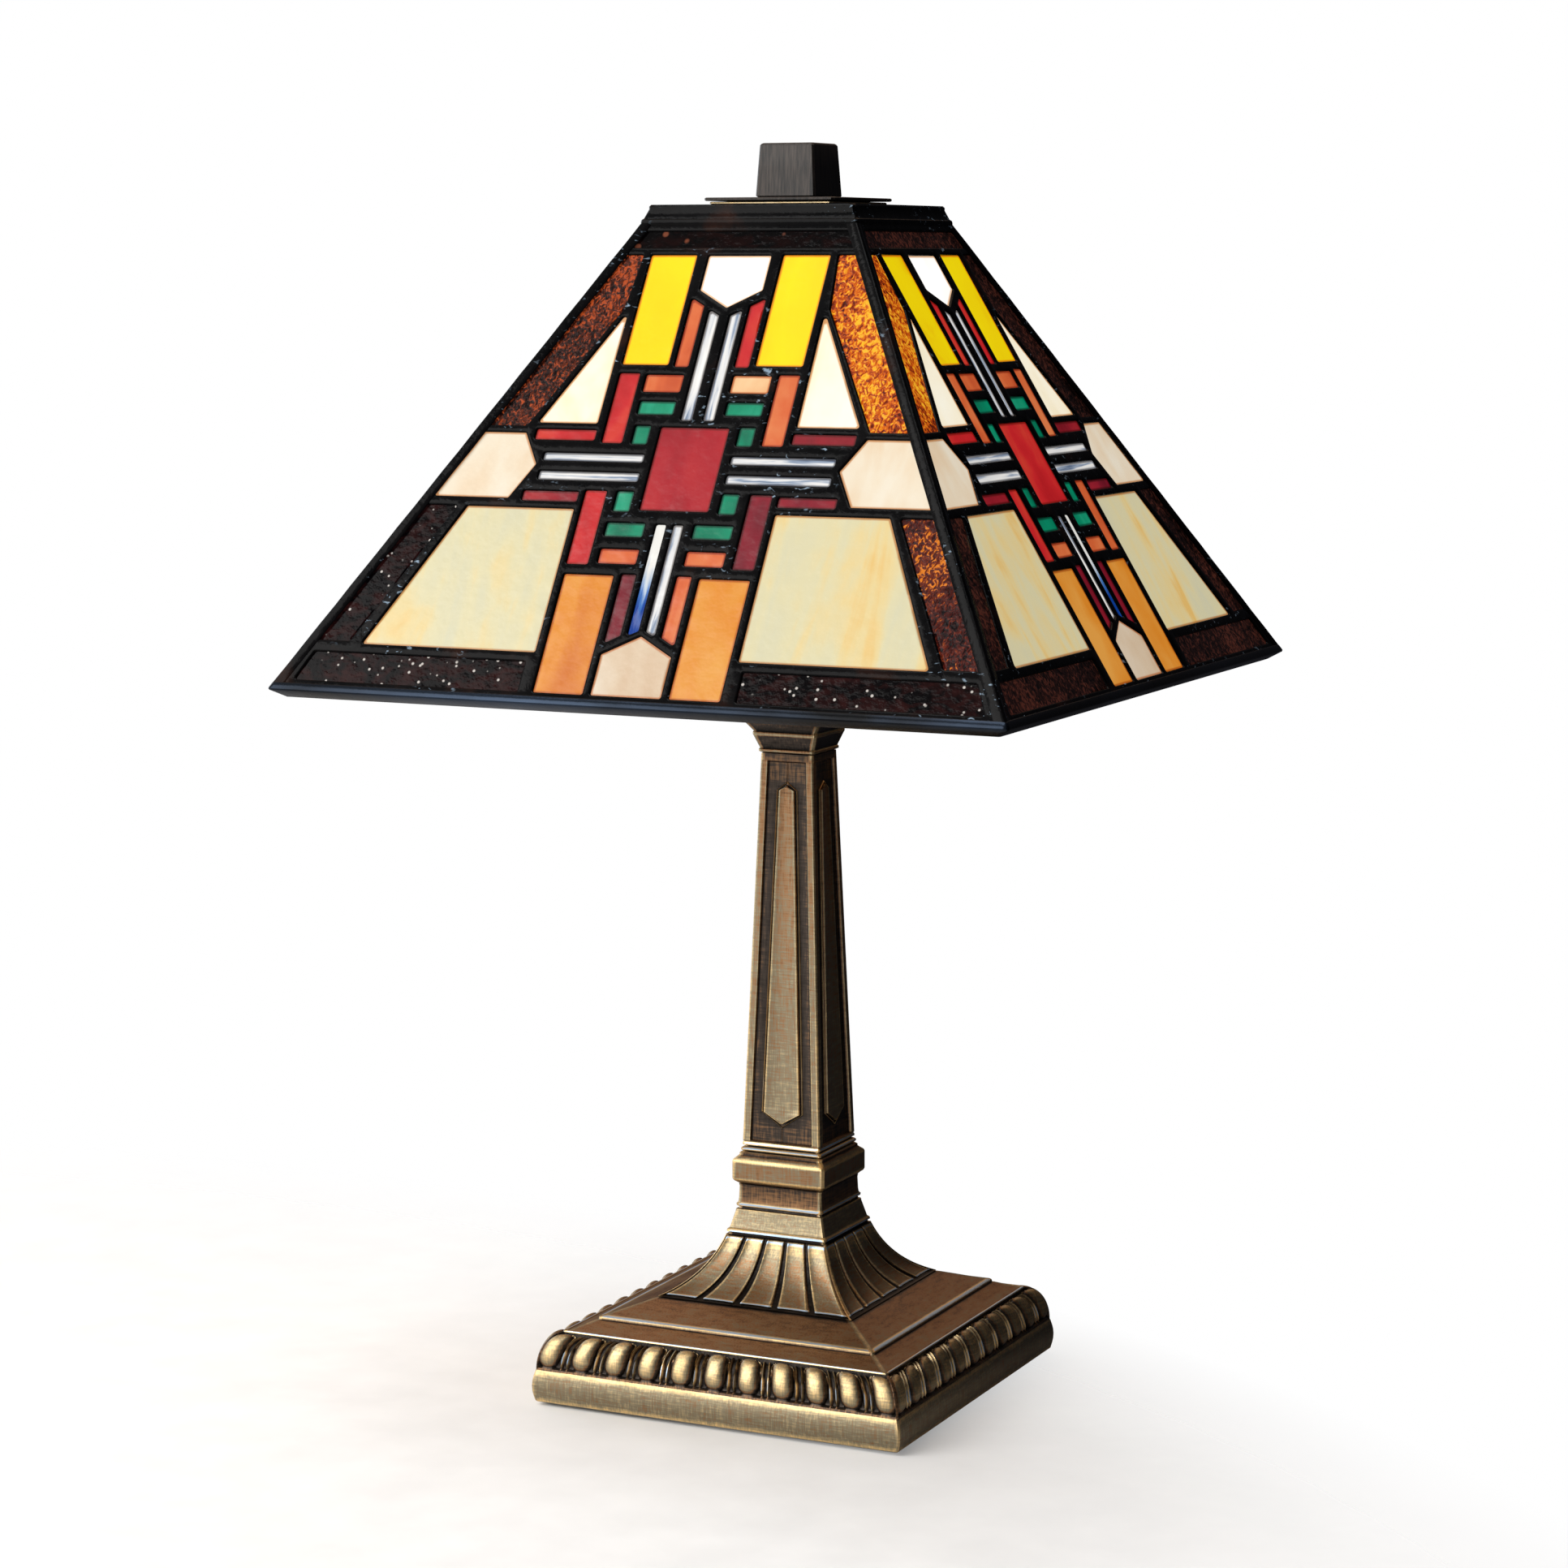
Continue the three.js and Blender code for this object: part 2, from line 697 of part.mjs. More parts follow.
// The envelope's outside, from the neck to the crown, drawn in by an inset.
function envelopeOutline(inset) {
  const ballCentre = bulbTop - bulbRadius;
  const radius = bulbRadius - inset;
  const neck = bulbNeckRadius - inset;
  const shoulder = -0.55; // the angle at which the neck's slope meets the ball, in radians
  const steps = 9;
  const points = [
    [neck, glassBottom],
    [neck, glassBottom + bulbNeckRadius / 2],
  ];
  for (let i = 0; i <= steps; i += 1) {
    const angle = shoulder + (i / steps) * (Math.PI / 2 - shoulder);
    points.push([radius * Math.cos(angle), ballCentre + radius * Math.sin(angle)]);
  }
  points[points.length - 1][0] = 0;
  return points;
}

function bulbGlassGeometry() {
  return turned([...envelopeOutline(0), ...envelopeOutline(bulbGlassWall).reverse(), [bulbNeckRadius, glassBottom]]);
}

function bulbShellGeometry() {
  const inner = bulbBaseRadius - bulbBaseWall;
  return ring(inner, bulbBaseRadius, bulbShellBottom, bulbShellTop);
}

function bulbButtonGeometry() {
  const bottom = tipTop + seatGap;
  const profile = [
    [0, bottom],
    [tipRadius, bottom],
    [bulbBaseRadius - bulbBaseWall, bottom + buttonHeight],
    [0, bottom + buttonHeight],
  ];
  return turned(profile);
}

addPiece(lamp, "bulb_contact", disc(tipRadius, bulbBottom, tipTop, smallSides), "tin");
addPiece(lamp, "bulb_button", bulbButtonGeometry(), "blackPlastic");
addPiece(lamp, "bulb_base", bulbShellGeometry(), "tin");
addPiece(lamp, "bulb_glass", bulbGlassGeometry(), "bulbGlass");

// ---- Shade faces: one sheet of glass under one lattice of lead on each of four sloping sides ---------------------

const shade = new THREE.Group();
lamp.add(shade);
const shadeRun = shadeBottomHalf - shadeTopHalf;
const slopeLength = Math.hypot(shadeRun, shadeRise);
const slopeAngle = Math.atan2(shadeRise, shadeRun);
const leadSurface = -hipThickness - seatGap; // depths are measured inwards from the shade's outermost surface
const leadBack = leadSurface - leadThickness;
const glassSurface = leadBack - seatGap;
const glassBack = glassSurface - glassThickness;

const hipHalf = (up) => shadeBottomHalf - (up * shadeRun) / slopeLength;
const mitre = (depth) => depth * Math.sin(slopeAngle);

// The leading is drawn on a sheet of these sizes, then stretched to the face: [across, up] from the bottom's middle.
const sheetHeight = 205.5;
const sheetBottomHalf = 152.4;
const sheetTopHalf = 46.3;

function place([across, up]) {
  const share = up / sheetHeight;
  const sheetHalf = sheetBottomHalf + (sheetTopHalf - sheetBottomHalf) * share;
  const faceUp = share * slopeLength;
  return new THREE.Vector2((across * hipHalf(faceUp)) / sheetHalf, faceUp);
}

const block = (left, right, bottom, top) => [[left, bottom], [right, bottom], [right, top], [left, top]];

const middlePanes = {
  house: [[-14.5, 5.3], [14.5, 5.3], [14.5, 22], [0, 30], [-14.5, 22]],
  centre: block(-14.3, 14.3, 81.8, 117),
  shield: [[0, 168.8], [13.2, 176.5], [13.2, 191.7], [-13.2, 191.7], [-13.2, 176.5]],
  top_strip: [[-47.6, 195.2], [47.6, 195.2], [43.8, 202.5], [-43.8, 202.5]],
};

const sidePanes = {
  bottom_strip: [[45, 5.3], [142, 5.3], [136.4, 17.5], [45, 17.5]],
  lower_field: [[42, 21.5], [117, 21.5], [88, 81.5], [42, 81.5]],
  lower_hip: [[122.6, 22.4], [136.8, 22.4], [106.3, 81.5], [92.4, 81.5]],
  block_pane: block(17.8, 38.5, 5.3, 54.3),
  lower_rail: [[8.5, 29.8], [14.5, 26.5], [14.5, 55], [8.5, 55]],
  lower_tall: [[1.6, 32], [5.6, 30], [5.6, 76], [1.6, 76]],
  lower_small: block(10, 26, 59.2, 65.3),
  lower_cross: block(10.3, 26.3, 70.5, 76.3),
  lower_peg: block(18.5, 25.5, 81, 89.5),
  lower_bar: block(30, 39, 58.5, 89.5),
  lower_dash: block(41.8, 65.5, 84.5, 88.8),
  lower_white: block(18.3, 61, 93.6, 97.3),
  upper_white: block(18.3, 61, 101.8, 105.2),
  arrow: [[71.5, 85.4], [104.2, 85.4], [89.6, 113.5], [71.6, 113.5], [63.5, 100]],
  upper_dash: block(41.3, 67, 110.7, 115.2),
  upper_peg: block(18.7, 25.2, 109.5, 117.5),
  upper_bar: block(29.3, 37.9, 109.8, 140),
  upper_cross: block(10.9, 26, 122.3, 128),
  upper_small: block(10.5, 26.3, 132, 139.5),
  upper_tall: [[2.4, 120], [6.9, 120], [6.9, 168], [2.4, 165.4]],
  upper_rail: [[9.8, 143], [15.6, 143], [15.6, 173], [9.8, 169.6]],
  upper_block: block(19.2, 38, 143.7, 192),
  upper_field: [[41.9, 118], [67.5, 118], [41.6, 167]],
  upper_hip: [[72, 116.5], [88.1, 116.5], [49.2, 192], [41.5, 192], [43.7, 168]],
};

const mirrored = (corners) => corners.map(([across, up]) => [-across, up]).reverse();

function leadOutlines() {
  const sides = Object.values(sidePanes);
  return [...Object.values(middlePanes), ...sides, ...sides.map(mirrored)];
}

// A face's outline between two heights up the slope, kept clear of the next face at a depth.
function faceShape(bottom, top, depth) {
  const inset = -mitre(depth) + seatGap;
  return new THREE.Shape([
    new THREE.Vector2(-hipHalf(bottom) + inset, bottom),
    new THREE.Vector2(hipHalf(bottom) - inset, bottom),
    new THREE.Vector2(hipHalf(top) - inset, top),
    new THREE.Vector2(-hipHalf(top) + inset, top),
  ]);
}

function leadGeometry() {
  const shape = faceShape(rimHeight + seatGap, slopeLength - seatGap, leadBack);
  const plate = new THREE.ExtrudeGeometry(shape, { depth: leadThickness, bevelEnabled: false });
  const openings = leadOutlines().map((outline) => {
    const opening = new THREE.Shape(outline.map(place));
    const tool = new THREE.ExtrudeGeometry(opening, { depth: 2 * cutMargin, bevelEnabled: false });
    return tool.translate(0, 0, -cutMargin);
  });
  return cut(plate, ...openings).translate(0, 0, leadBack);
}

function glassGeometry() {
  const shape = faceShape(rimHeight + seatGap, slopeLength - glassThickness, glassBack);
  const sheet = new THREE.ExtrudeGeometry(shape, { depth: glassThickness, bevelEnabled: false });
  return sheet.translate(0, 0, glassBack);
}

["front", "right", "back", "left"].forEach((side, quarter) => {
  const turn = new THREE.Group();
  turn.rotation.z = (quarter * Math.PI) / 2;
  shade.add(turn);
  const face = new THREE.Group();
  face.position.set(0, -shadeBottomHalf, shadeBottom);
  face.rotation.x = slopeAngle;
  turn.add(face);
  addPiece(face, "glass_" + side, glassGeometry(), "glass");
  addPiece(face, "lead_" + side, leadGeometry(), "lead");
});

// ---- Shade edges: rim, hips, crown band, top plate and the two cap plates ---------------------------------------

// A point up the slope and in from its surface, as [half width, height].
function sloped(up, depth) {
  const across = Math.cos(slopeAngle);
  const rise = Math.sin(slopeAngle);
  return [shadeBottomHalf - up * across + depth * rise, shadeBottom + up * rise + depth * across];
}

function rimGeometry() {
  const corners = [sloped(0, glassBack), sloped(0, 0), sloped(rimHeight, 0), sloped(rimHeight, glassBack)];
  return squareTurned([...corners, corners[0]]);
}

// An angle strip that leans in on both sides as it rises.
function hipGeometry() {
  const [bottomHalf, bottom] = sloped(rimHeight + seatGap, 0);
  const height = crownBottom - seatGap - bottom;
  const wall = hipThickness / Math.sin(slopeAngle);
  const angle = new THREE.Shape([
    new THREE.Vector2(0, 0),
    new THREE.Vector2(-hipLeg, 0),
    new THREE.Vector2(-hipLeg, -wall),
    new THREE.Vector2(-wall, -wall),
    new THREE.Vector2(-wall, -hipLeg),
    new THREE.Vector2(0, -hipLeg),
  ]);
  const strip = new THREE.ExtrudeGeometry(angle, { depth: height, bevelEnabled: false });
  const lean = -shadeRun / shadeRise;
  strip.applyMatrix4(new THREE.Matrix4().set(1, 0, lean, 0, 0, 1, lean, 0, 0, 0, 1, 0, 0, 0, 0, 1));
  return strip.translate(bottomHalf, bottomHalf, bottom);
}

function crownGeometry() {
  const inner = shadeTop - topPlateThickness - seatGap;
  return squareTurned([
    [shadeTopHalf - crownWall, crownBottom],
    [shadeTopHalf, crownBottom],
    [crownTopHalf, shadeTop],
    [crownTopHalf - crownWall, shadeTop],
    [crownTopHalf - crownWall, inner],
    [shadeTopHalf - crownWall, crownBottom],
  ]);
}

function topPlateGeometry() {
  const half = crownTopHalf - crownWall - seatGap;
  const plate = squareBlock(half, topPlateBottom, shadeTop);
  const holes = [disc(studRadius + boreGap, topPlateBottom - cutMargin, shadeTop + cutMargin, smallSides)];
  const ventRow = (half + upperCapHalf) / 2;
  for (let quarter = 0; quarter < 4; quarter += 1) {
    for (let i = 0; i < ventsPerSide; i += 1) {
      const along = (i - (ventsPerSide - 1) / 2) * ventPitch;
      const vent = disc(ventRadius, topPlateBottom - cutMargin, shadeTop + cutMargin, 12);
      holes.push(vent.translate(along, ventRow, 0).rotateZ((quarter * Math.PI) / 2));
    }
  }
  return cut(plate, ...holes);
}

function capPlateGeometry(half, bottom, thickness) {
  const hole = disc(studRadius + boreGap, bottom - cutMargin, bottom + thickness + cutMargin, smallSides);
  return cut(squareBlock(half, bottom, bottom + thickness), hole);
}

addPiece(shade, "shade_rim", rimGeometry(), "lead");
["back_right", "back_left", "front_left", "front_right"].forEach((corner, quarter) => {
  const hip = addPiece(shade, "hip_" + corner, hipGeometry(), "lead");
  hip.rotation.z = (quarter * Math.PI) / 2;
});
addPiece(shade, "crown_band", crownGeometry(), "lead");
addPiece(shade, "top_plate", topPlateGeometry(), "darkBronze");
addPiece(shade, "cap_plate_lower", capPlateGeometry(lowerCapHalf, lowerCapBottom, lowerCapThickness), "brass");
addPiece(shade, "cap_plate_upper", capPlateGeometry(upperCapHalf, upperCapBottom, upperCapThickness), "darkBronze");

// ---- Finial and its threaded insert ------------------------------------------------------------------------------

const insertBore = studRadius + boreGap;
const insertRadius = insertBore + insertWall;
const insertBottom = finialBottom + seatGap;

function finialGeometry() {
  const top = finialBottom + finialHeight;
  const block = squareTurned([
    [0, finialBottom],
    [finialBottomHalf, finialBottom],
    [finialTopHalf, top - finialBevel],
    [finialTopHalf - finialBevel, top],
    [0, top],
  ]);
  const hole = disc(insertRadius + boreGap, finialBottom - cutMargin, insertBottom + insertLength + seatGap);
  return cut(block, hole);
}

addPiece(
  lamp,
  "finial_insert",
  ring(insertBore, insertRadius, insertBottom, insertBottom + insertLength, smallSides),
  "brass",
);
addPiece(lamp, "finial", finialGeometry(), "darkBronze");

export default lamp;
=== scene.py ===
"""A square leaded glass table lamp: its looks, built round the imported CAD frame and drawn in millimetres."""

import math

import bmesh
import bpy
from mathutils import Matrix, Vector
from mathutils.geometry import delaunay_2d_cdt


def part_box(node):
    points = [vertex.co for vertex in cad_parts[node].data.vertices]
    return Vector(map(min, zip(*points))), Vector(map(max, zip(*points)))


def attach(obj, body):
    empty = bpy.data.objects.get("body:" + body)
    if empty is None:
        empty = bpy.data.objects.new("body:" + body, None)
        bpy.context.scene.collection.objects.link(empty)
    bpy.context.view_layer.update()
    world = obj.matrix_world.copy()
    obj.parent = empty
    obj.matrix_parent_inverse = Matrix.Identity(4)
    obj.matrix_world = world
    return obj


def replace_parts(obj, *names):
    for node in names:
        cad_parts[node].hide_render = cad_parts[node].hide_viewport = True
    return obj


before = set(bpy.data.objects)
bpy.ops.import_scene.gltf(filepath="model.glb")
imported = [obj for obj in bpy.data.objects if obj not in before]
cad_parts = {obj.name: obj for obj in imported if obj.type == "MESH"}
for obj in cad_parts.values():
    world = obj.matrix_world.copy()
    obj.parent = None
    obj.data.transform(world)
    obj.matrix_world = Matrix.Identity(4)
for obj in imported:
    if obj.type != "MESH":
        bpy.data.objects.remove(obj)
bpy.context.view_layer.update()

MM = 0.001
scene = bpy.context.scene


# ---- Camera ----

CAMERA_AZIMUTH = math.radians(25.286)
CAMERA_DISTANCE = 1.52933
CAMERA_HEIGHT = 0.45352
CAMERA_PITCH = math.radians(7.761)

camera_data = bpy.data.cameras.new("camera")
camera_data.lens = 88.33
camera_data.sensor_width = 36
camera_data.shift_x = -0.00952
camera = bpy.data.objects.new("camera", camera_data)
camera.location = (
    CAMERA_DISTANCE * math.sin(CAMERA_AZIMUTH),
    -CAMERA_DISTANCE * math.cos(CAMERA_AZIMUTH),
    CAMERA_HEIGHT,
)
camera.rotation_euler = (math.pi / 2 - CAMERA_PITCH, 0, CAMERA_AZIMUTH)
scene.collection.objects.link(camera)
scene.camera = camera
scene.view_settings.view_transform = "Standard"


# ---- Sizes, in millimetres, read from the frame where a CAD node's box gives them ----


def span(node):
    low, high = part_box(node)
    return low / MM, high / MM


foot_low, foot_high = span("base_foot")
pedestal_low, pedestal_high = span("pedestal")
collar_low, collar_high = span("stem_collar")
column_low, column_high = span("column")
capital_low, capital_high = span("capital")
crown_low, crown_high = span("crown_band")

PIPE_HOLE = 5.4
PLINTH_BULGE = 1.3
PLINTH_EDGE = foot_high.x - PLINTH_BULGE
PLINTH_TOP = foot_low.z + 13.1
MOULDING_TOP = PLINTH_TOP + 14.5
MOULDING_HALF = foot_high.x - 9.4
LOWER_STEP_HALF = MOULDING_HALF - 11.5
LOWER_STEP_TOP = MOULDING_TOP + 5
FLARE_TOP = pedestal_low.z + 24.4
FLARE_TOP_HALF = 21.9
BAND_TOP = FLARE_TOP + 9.3
BAND_TOP_HALF = 19
NECK_HALF = 18.4
COLUMN_TOP_HALF = 11.4

SHADE_BOTTOM_HALF = span("shade_rim")[1].x
SHADE_TOP_HALF = crown_high.x
SHADE_RISE = 176
SHADE_BOTTOM = crown_low.z - SHADE_RISE
SLOPE_LENGTH = math.hypot(SHADE_BOTTOM_HALF - SHADE_TOP_HALF, SHADE_RISE)
SLOPE_COS = (SHADE_BOTTOM_HALF - SHADE_TOP_HALF) / SLOPE_LENGTH
SLOPE_SIN = SHADE_RISE / SLOPE_LENGTH


def mix(a, b, share):
    return a + (b - a) * share


def smooth_step(low, high, value):
    share = min(1.0, max(0.0, (value - low) / (high - low)))
    return share * share * (3 - 2 * share)


# ---- Meshes ----

WELD = 2e-6  # metres
EDGE_WIDTH = 1.4
HIDDEN = 0.1  # the tone of faces inside the lamp
PAINTED_GLINT = 1.6  # a tone past 1.2 is painted as a cool bright highlight along a ledge


class Shape:
    """Vertices in millimetres with a tone each, from 0 in a dark recess to 1 on a worn edge, and faces."""

    def __init__(self):
        self.points = []
        self.tones = []
        self.faces = []

    def add(self, points, tones, faces):
        start = len(self.points)
        self.points.extend(points)
        self.tones.extend(tones)
        self.faces.extend([start + i for i in face] for face in faces)

    def loft(self, loops):
        """Quads between closed loops of (x, y, z, tone) that run counter-clockwise seen from above."""
        count = len(loops[0])
        points = [corner[:3] for loop in loops for corner in loop]
        tones = [corner[3] for loop in loops for corner in loop]
        faces = []
        for row in range(len(loops) - 1):
            for i in range(count):
                a = row * count + i
                b = row * count + (i + 1) % count
                faces.append((a, b, b + count, a + count))
        self.add(points, tones, faces)
        return self

    def cap(self, loop, up=True):
        order = range(len(loop)) if up else reversed(range(len(loop)))
        self.add([corner[:3] for corner in loop], [corner[3] for corner in loop], [list(order)])
        return self


def make_piece(name, body, shape, materials, slot, indices=None, fields=None, sharp=32, weld=True):
    """Makes a Shape into an object that rides on a CAD body. Fields are more values for each vertex."""
    mesh = bpy.data.meshes.new(name)
    mesh.from_pydata([Vector(point) * MM for point in shape.points], [], shape.faces)
    for material in materials:
        mesh.materials.append(material)
    if indices:
        mesh.polygons.foreach_set("material_index", indices)
    tone = mesh.attributes.new("tone", "FLOAT", "POINT")
    tone.data.foreach_set("value", shape.tones)
    for field, vectors in (fields or {}).items():
        attribute = mesh.attributes.new(field, "FLOAT_VECTOR", "POINT")
        attribute.data.foreach_set("vector", [number for vector in vectors for number in vector])
    if weld:
        work = bmesh.new()
        work.from_mesh(mesh)
        bmesh.ops.remove_doubles(work, verts=work.verts, dist=WELD)
        bmesh.ops.dissolve_degenerate(work, edges=work.edges, dist=WELD / 2)
        work.to_mesh(mesh)
        work.free()
    mesh.polygons.foreach_set("use_smooth", [True] * len(mesh.polygons))
    mesh.set_sharp_from_angle(angle=math.radians(sharp))
    piece = bpy.data.objects.new(name, mesh)
    scene.collection.objects.link(piece)
    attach(piece, body)
    return piece


def four_sides(front):
    """A loop round a square plan from its front side, given from left to right as (across, out, z, tone)."""
    loop = []
    side = [(across, -out, z, tone) for across, out, z, tone in front]
    for _ in range(4):
        loop.extend(side)
        side = [(-y, x, z, tone) for x, y, z, tone in side]
    return loop


def square_loop(half, z, tone, edge=None, corner=0.6):
    """A square loop with clipped corners, and an edge tone beside each corner."""
    edge = tone if edge is None else edge
    end = half - min(corner, half * 0.3)
    inner = end - min(EDGE_WIDTH, end * 0.5)
    front = [(-end, half, z, edge), (-inner, half, z, tone), (inner, half, z, tone), (end, half, z, edge)]
    return four_sides(front)


def square_loft(profile, edge=None, corner=0.6):
    """Square loops from a profile of (half, z, tone)."""
    return [square_loop(half, z, tone, edge, corner) for half, z, tone in profile]


def square_ring(profile, edge=None, corner=0.6):
    """A solid square ring: the profile goes up the outside and down the inside, and closes on itself."""
    return Shape().loft(square_loft([*profile, profile[0]], edge, corner))


def around(half, z, rows):
    """Profile points from rows of (out, up, tone), measured from a half width and a height."""
    return [(half + out, z + up, tone) for out, up, tone in rows]


def hidden(rows):
    """Profile points that close a piece where it isn't seen, from rows of (half, z)."""
    return [(half, z, HIDDEN) for half, z in rows]


def turned(profile, sides=48, ridge=None):
    """A profile of (radius, height) turned about z. The profile starts and ends on the axis, or closes."""
    loops = []
    for radius, height in profile:
        loop = []
        for i in range(sides):
            angle = 2 * math.pi * i / sides
            out = radius * (ridge(angle, height) if ridge else 1)
            loop.append((out * math.cos(angle), out * math.sin(angle), height, 0.6))
        loops.append(loop)
    return Shape().loft(loops)


# ---- Material helpers ----


def rgb(red, green, blue):
    """A colour from 0 to 255 as the screen shows it, made linear."""
    channels = [channel / 255 for channel in (red, green, blue)]
    linear = [c / 12.92 if c <= 0.04045 else ((c + 0.055) / 1.055) ** 2.4 for c in channels]
    return (*linear, 1)


def new_material(name):
    material = bpy.data.materials.new(name)
    material.use_nodes = True
    return material, material.node_tree, material.node_tree.nodes["Principled BSDF"]


def feed(tree, node, inputs):
    """Links each input to a socket, or sets it to a plain value."""
    for key, value in inputs.items():
        if isinstance(value, bpy.types.NodeSocket):
            tree.links.new(value, node.inputs[key])
        else:
            node.inputs[key].default_value = value


def add_node(tree, kind, inputs=None, **settings):
    made = tree.nodes.new(kind)
    for key, value in settings.items():
        setattr(made, key, value)
    feed(tree, made, inputs or {})
    return made


def math_node(tree, operation, a, b):
    return add_node(tree, "ShaderNodeMath", {0: a, 1: b}, operation=operation).outputs[0]


def scaled(tree, vector, scale):
    return add_node(tree, "ShaderNodeMapping", {"Vector": vector, "Scale": scale}).outputs[0]


def noise(tree, vector, scale, detail=2.0, distortion=0.0):
    inputs = {"Vector": vector, "Scale": scale, "Detail": detail, "Distortion": distortion}
    return add_node(tree, "ShaderNodeTexNoise", inputs).outputs[0]


def ramp(tree, factor, stops):
    made = add_node(tree, "ShaderNodeValToRGB", {0: factor})
    elements = made.color_ramp.elements
    while len(elements) < len(stops):
        elements.new(0.5)
    for element, (position, color) in zip(elements, stops):
        element.position = position
        element.color = color
    return made.outputs[0]


def blend_color(tree, factor, a, b):
    return add_node(tree, "ShaderNodeMix", {0: factor, 6: a, 7: b}, data_type="RGBA").outputs[2]


def map_range(tree, value, from_low, from_high, to_low, to_high):
    inputs = {0: value, 1: from_low, 2: from_high, 3: to_low, 4: to_high}
    return add_node(tree, "ShaderNodeMapRange", inputs).outputs[0]


def attribute(tree, name, output):
    return add_node(tree, "ShaderNodeAttribute", attribute_name=name).outputs[output]


def weigh(tree, a, b, share):
    """A share of a, and the rest of b."""
    first = math_node(tree, "MULTIPLY", a, share)
    return math_node(tree, "ADD", first, math_node(tree, "MULTIPLY", b, 1 - share))


def bump(tree, shader, height, strength, distance):
    made = add_node(tree, "ShaderNodeBump", {"Height": height, "Strength": strength, "Distance": distance})
    feed(tree, shader, {"Normal": made.outputs[0]})


def object_coordinates(tree):
    return add_node(tree, "ShaderNodeTexCoord").outputs["Object"]


# ---- Metals ----

BRONZE_STOPS = [
    (0.0, rgb(17, 15, 14)),
    (0.22, rgb(62, 54, 48)),
    (0.42, rgb(138, 102, 70)),
    (0.6, rgb(128, 120, 99)),
    (0.8, rgb(172, 151, 114)),
    (1.0, rgb(222, 188, 132)),
]


def bronze(name, weave=0.5, darken=0.0):
    """Cast metal that takes its tone from the mesh, with a linen-like scratching, worn blotches, and a painted
    cool-white highlight where the tone runs past 1.15.
    """
    material, tree, shader = new_material(name)
    place = object_coordinates(tree)
    across = noise(tree, scaled(tree, place, (150, 150, 1500)), 1.0)
    upright = noise(tree, scaled(tree, place, (1500, 1500, 130)), 1.0)
    blotch = noise(tree, place, 55, 4)
    drawn = attribute(tree, "tone", "Fac")
    scratches = math_node(tree, "SUBTRACT", math_node(tree, "ADD", across, upright), 1.0)
    depth = map_range(tree, drawn, 0.0, 0.6, 0.3 * weave, weave)
    tone = math_node(tree, "ADD", drawn, math_node(tree, "MULTIPLY", scratches, depth))
    wear = math_node(tree, "SUBTRACT", blotch, 0.5 + darken)
    tone = math_node(tree, "ADD", tone, math_node(tree, "MULTIPLY", wear, 0.12))
    # painted highlight: tones past 1.15, with the blotches added, turn cool white
    painted_glint = map_range(tree, math_node(tree, "ADD", drawn, wear), 1.15, 1.4, 0.0, 0.95)
    color = blend_color(tree, painted_glint, ramp(tree, tone, BRONZE_STOPS), rgb(178, 204, 230))
    rough = map_range(tree, blotch, 0.3, 0.7, 0.34, 0.5)
    feed(tree, shader, {"Base Color": color, "Roughness": rough, "Metallic": 0.88})
    bump(tree, shader, scratches, 0.18, 0.0003)
    return material


def brushed(name, dark, light, roughness, metallic=1.0, stretch=(900, 900, 60)):
    """Metal or plastic with one brushing direction."""
    material, tree, shader = new_material(name)
    place = object_coordinates(tree)
    grain = noise(tree, scaled(tree, place, stretch), 1.0, 3)
    cloud = noise(tree, place, 40, 3)
    color = ramp(tree, weigh(tree, grain, cloud, 0.6), [(0.36, rgb(*dark)), (0.64, rgb(*light))])
    rough = map_range(tree, cloud, 0.3, 0.7, roughness - 0.05, roughness + 0.08)
    feed(tree, shader, {"Base Color": color, "Roughness": rough, "Metallic": metallic})
    bump(tree, shader, grain, 0.12, 0.0002)
    return material


def grained(name, dark, light, roughness, scale, height=0.3):
    """Matt stuff with an even grain: felt, card, cast iron or moulded plastic."""
    material, tree, shader = new_material(name)
    grain = noise(tree, object_coordinates(tree), scale, 5)
    color = ramp(tree, grain, [(0.3, rgb(*dark)), (0.72, rgb(*light))])
    feed(tree, shader, {"Base Color": color, "Roughness": roughness})
    bump(tree, shader, grain, height, 0.0004)
    return material


def patina():
    """Blackened lead: glossy, lumpy from the soldering iron, with rusty patches and small bluish-white spots
    that are painted highlights.
    """
    material, tree, shader = new_material("lead_came")
    place = object_coordinates(tree)
    lumps = noise(tree, place, 260, 3, 0.4)
    patches = noise(tree, place, 38, 4)
    ground = ramp(tree, patches, [(0.4, rgb(4, 4, 5)), (0.62, rgb(11, 10, 11)), (0.74, rgb(36, 20, 15))])
    # painted highlights: small bluish-white spots in patches over the solder
    glint_spots = map_range(tree, noise(tree, scaled(tree, place, (300, 300, 620)), 1.0, 2, 0.5), 0.64, 0.74, 0, 1)
    glint_patches = map_range(tree, noise(tree, place, 24, 1), 0.5, 0.6, 0, 1)
    color = blend_color(tree, math_node(tree, "MULTIPLY", glint_spots, glint_patches), ground, rgb(124, 142, 158))
    rough = map_range(tree, lumps, 0.3, 0.7, 0.1, 0.2)
    feed(tree, shader, {"Base Color": color, "Roughness": rough, "IOR": 1.22, "Specular IOR Level": 0.2})
    bump(tree, shader, lumps, 0.3, 0.0006)
    return material


def rim_metal():
    """The bottom channel: blackened like the lead, with a painted blue sheen in streaks."""
    material, tree, shader = new_material("rim_metal")
    place = object_coordinates(tree)
    # painted sheen: streaks of blue-grey in the metal's colour
    painted_sheen = noise(tree, scaled(tree, place, (14, 14, 60)), 1.0, 3)
    color = ramp(tree, painted_sheen, [(0.4, rgb(8, 9, 11)), (0.72, rgb(38, 48, 62))])
    rough = map_range(tree, painted_sheen, 0.3, 0.7, 0.3, 0.2)
    feed(tree, shader, {"Base Color": color, "Roughness": rough, "Metallic": 0.9})
    bump(tree, shader, noise(tree, place, 260), 0.15, 0.0005)
    return material


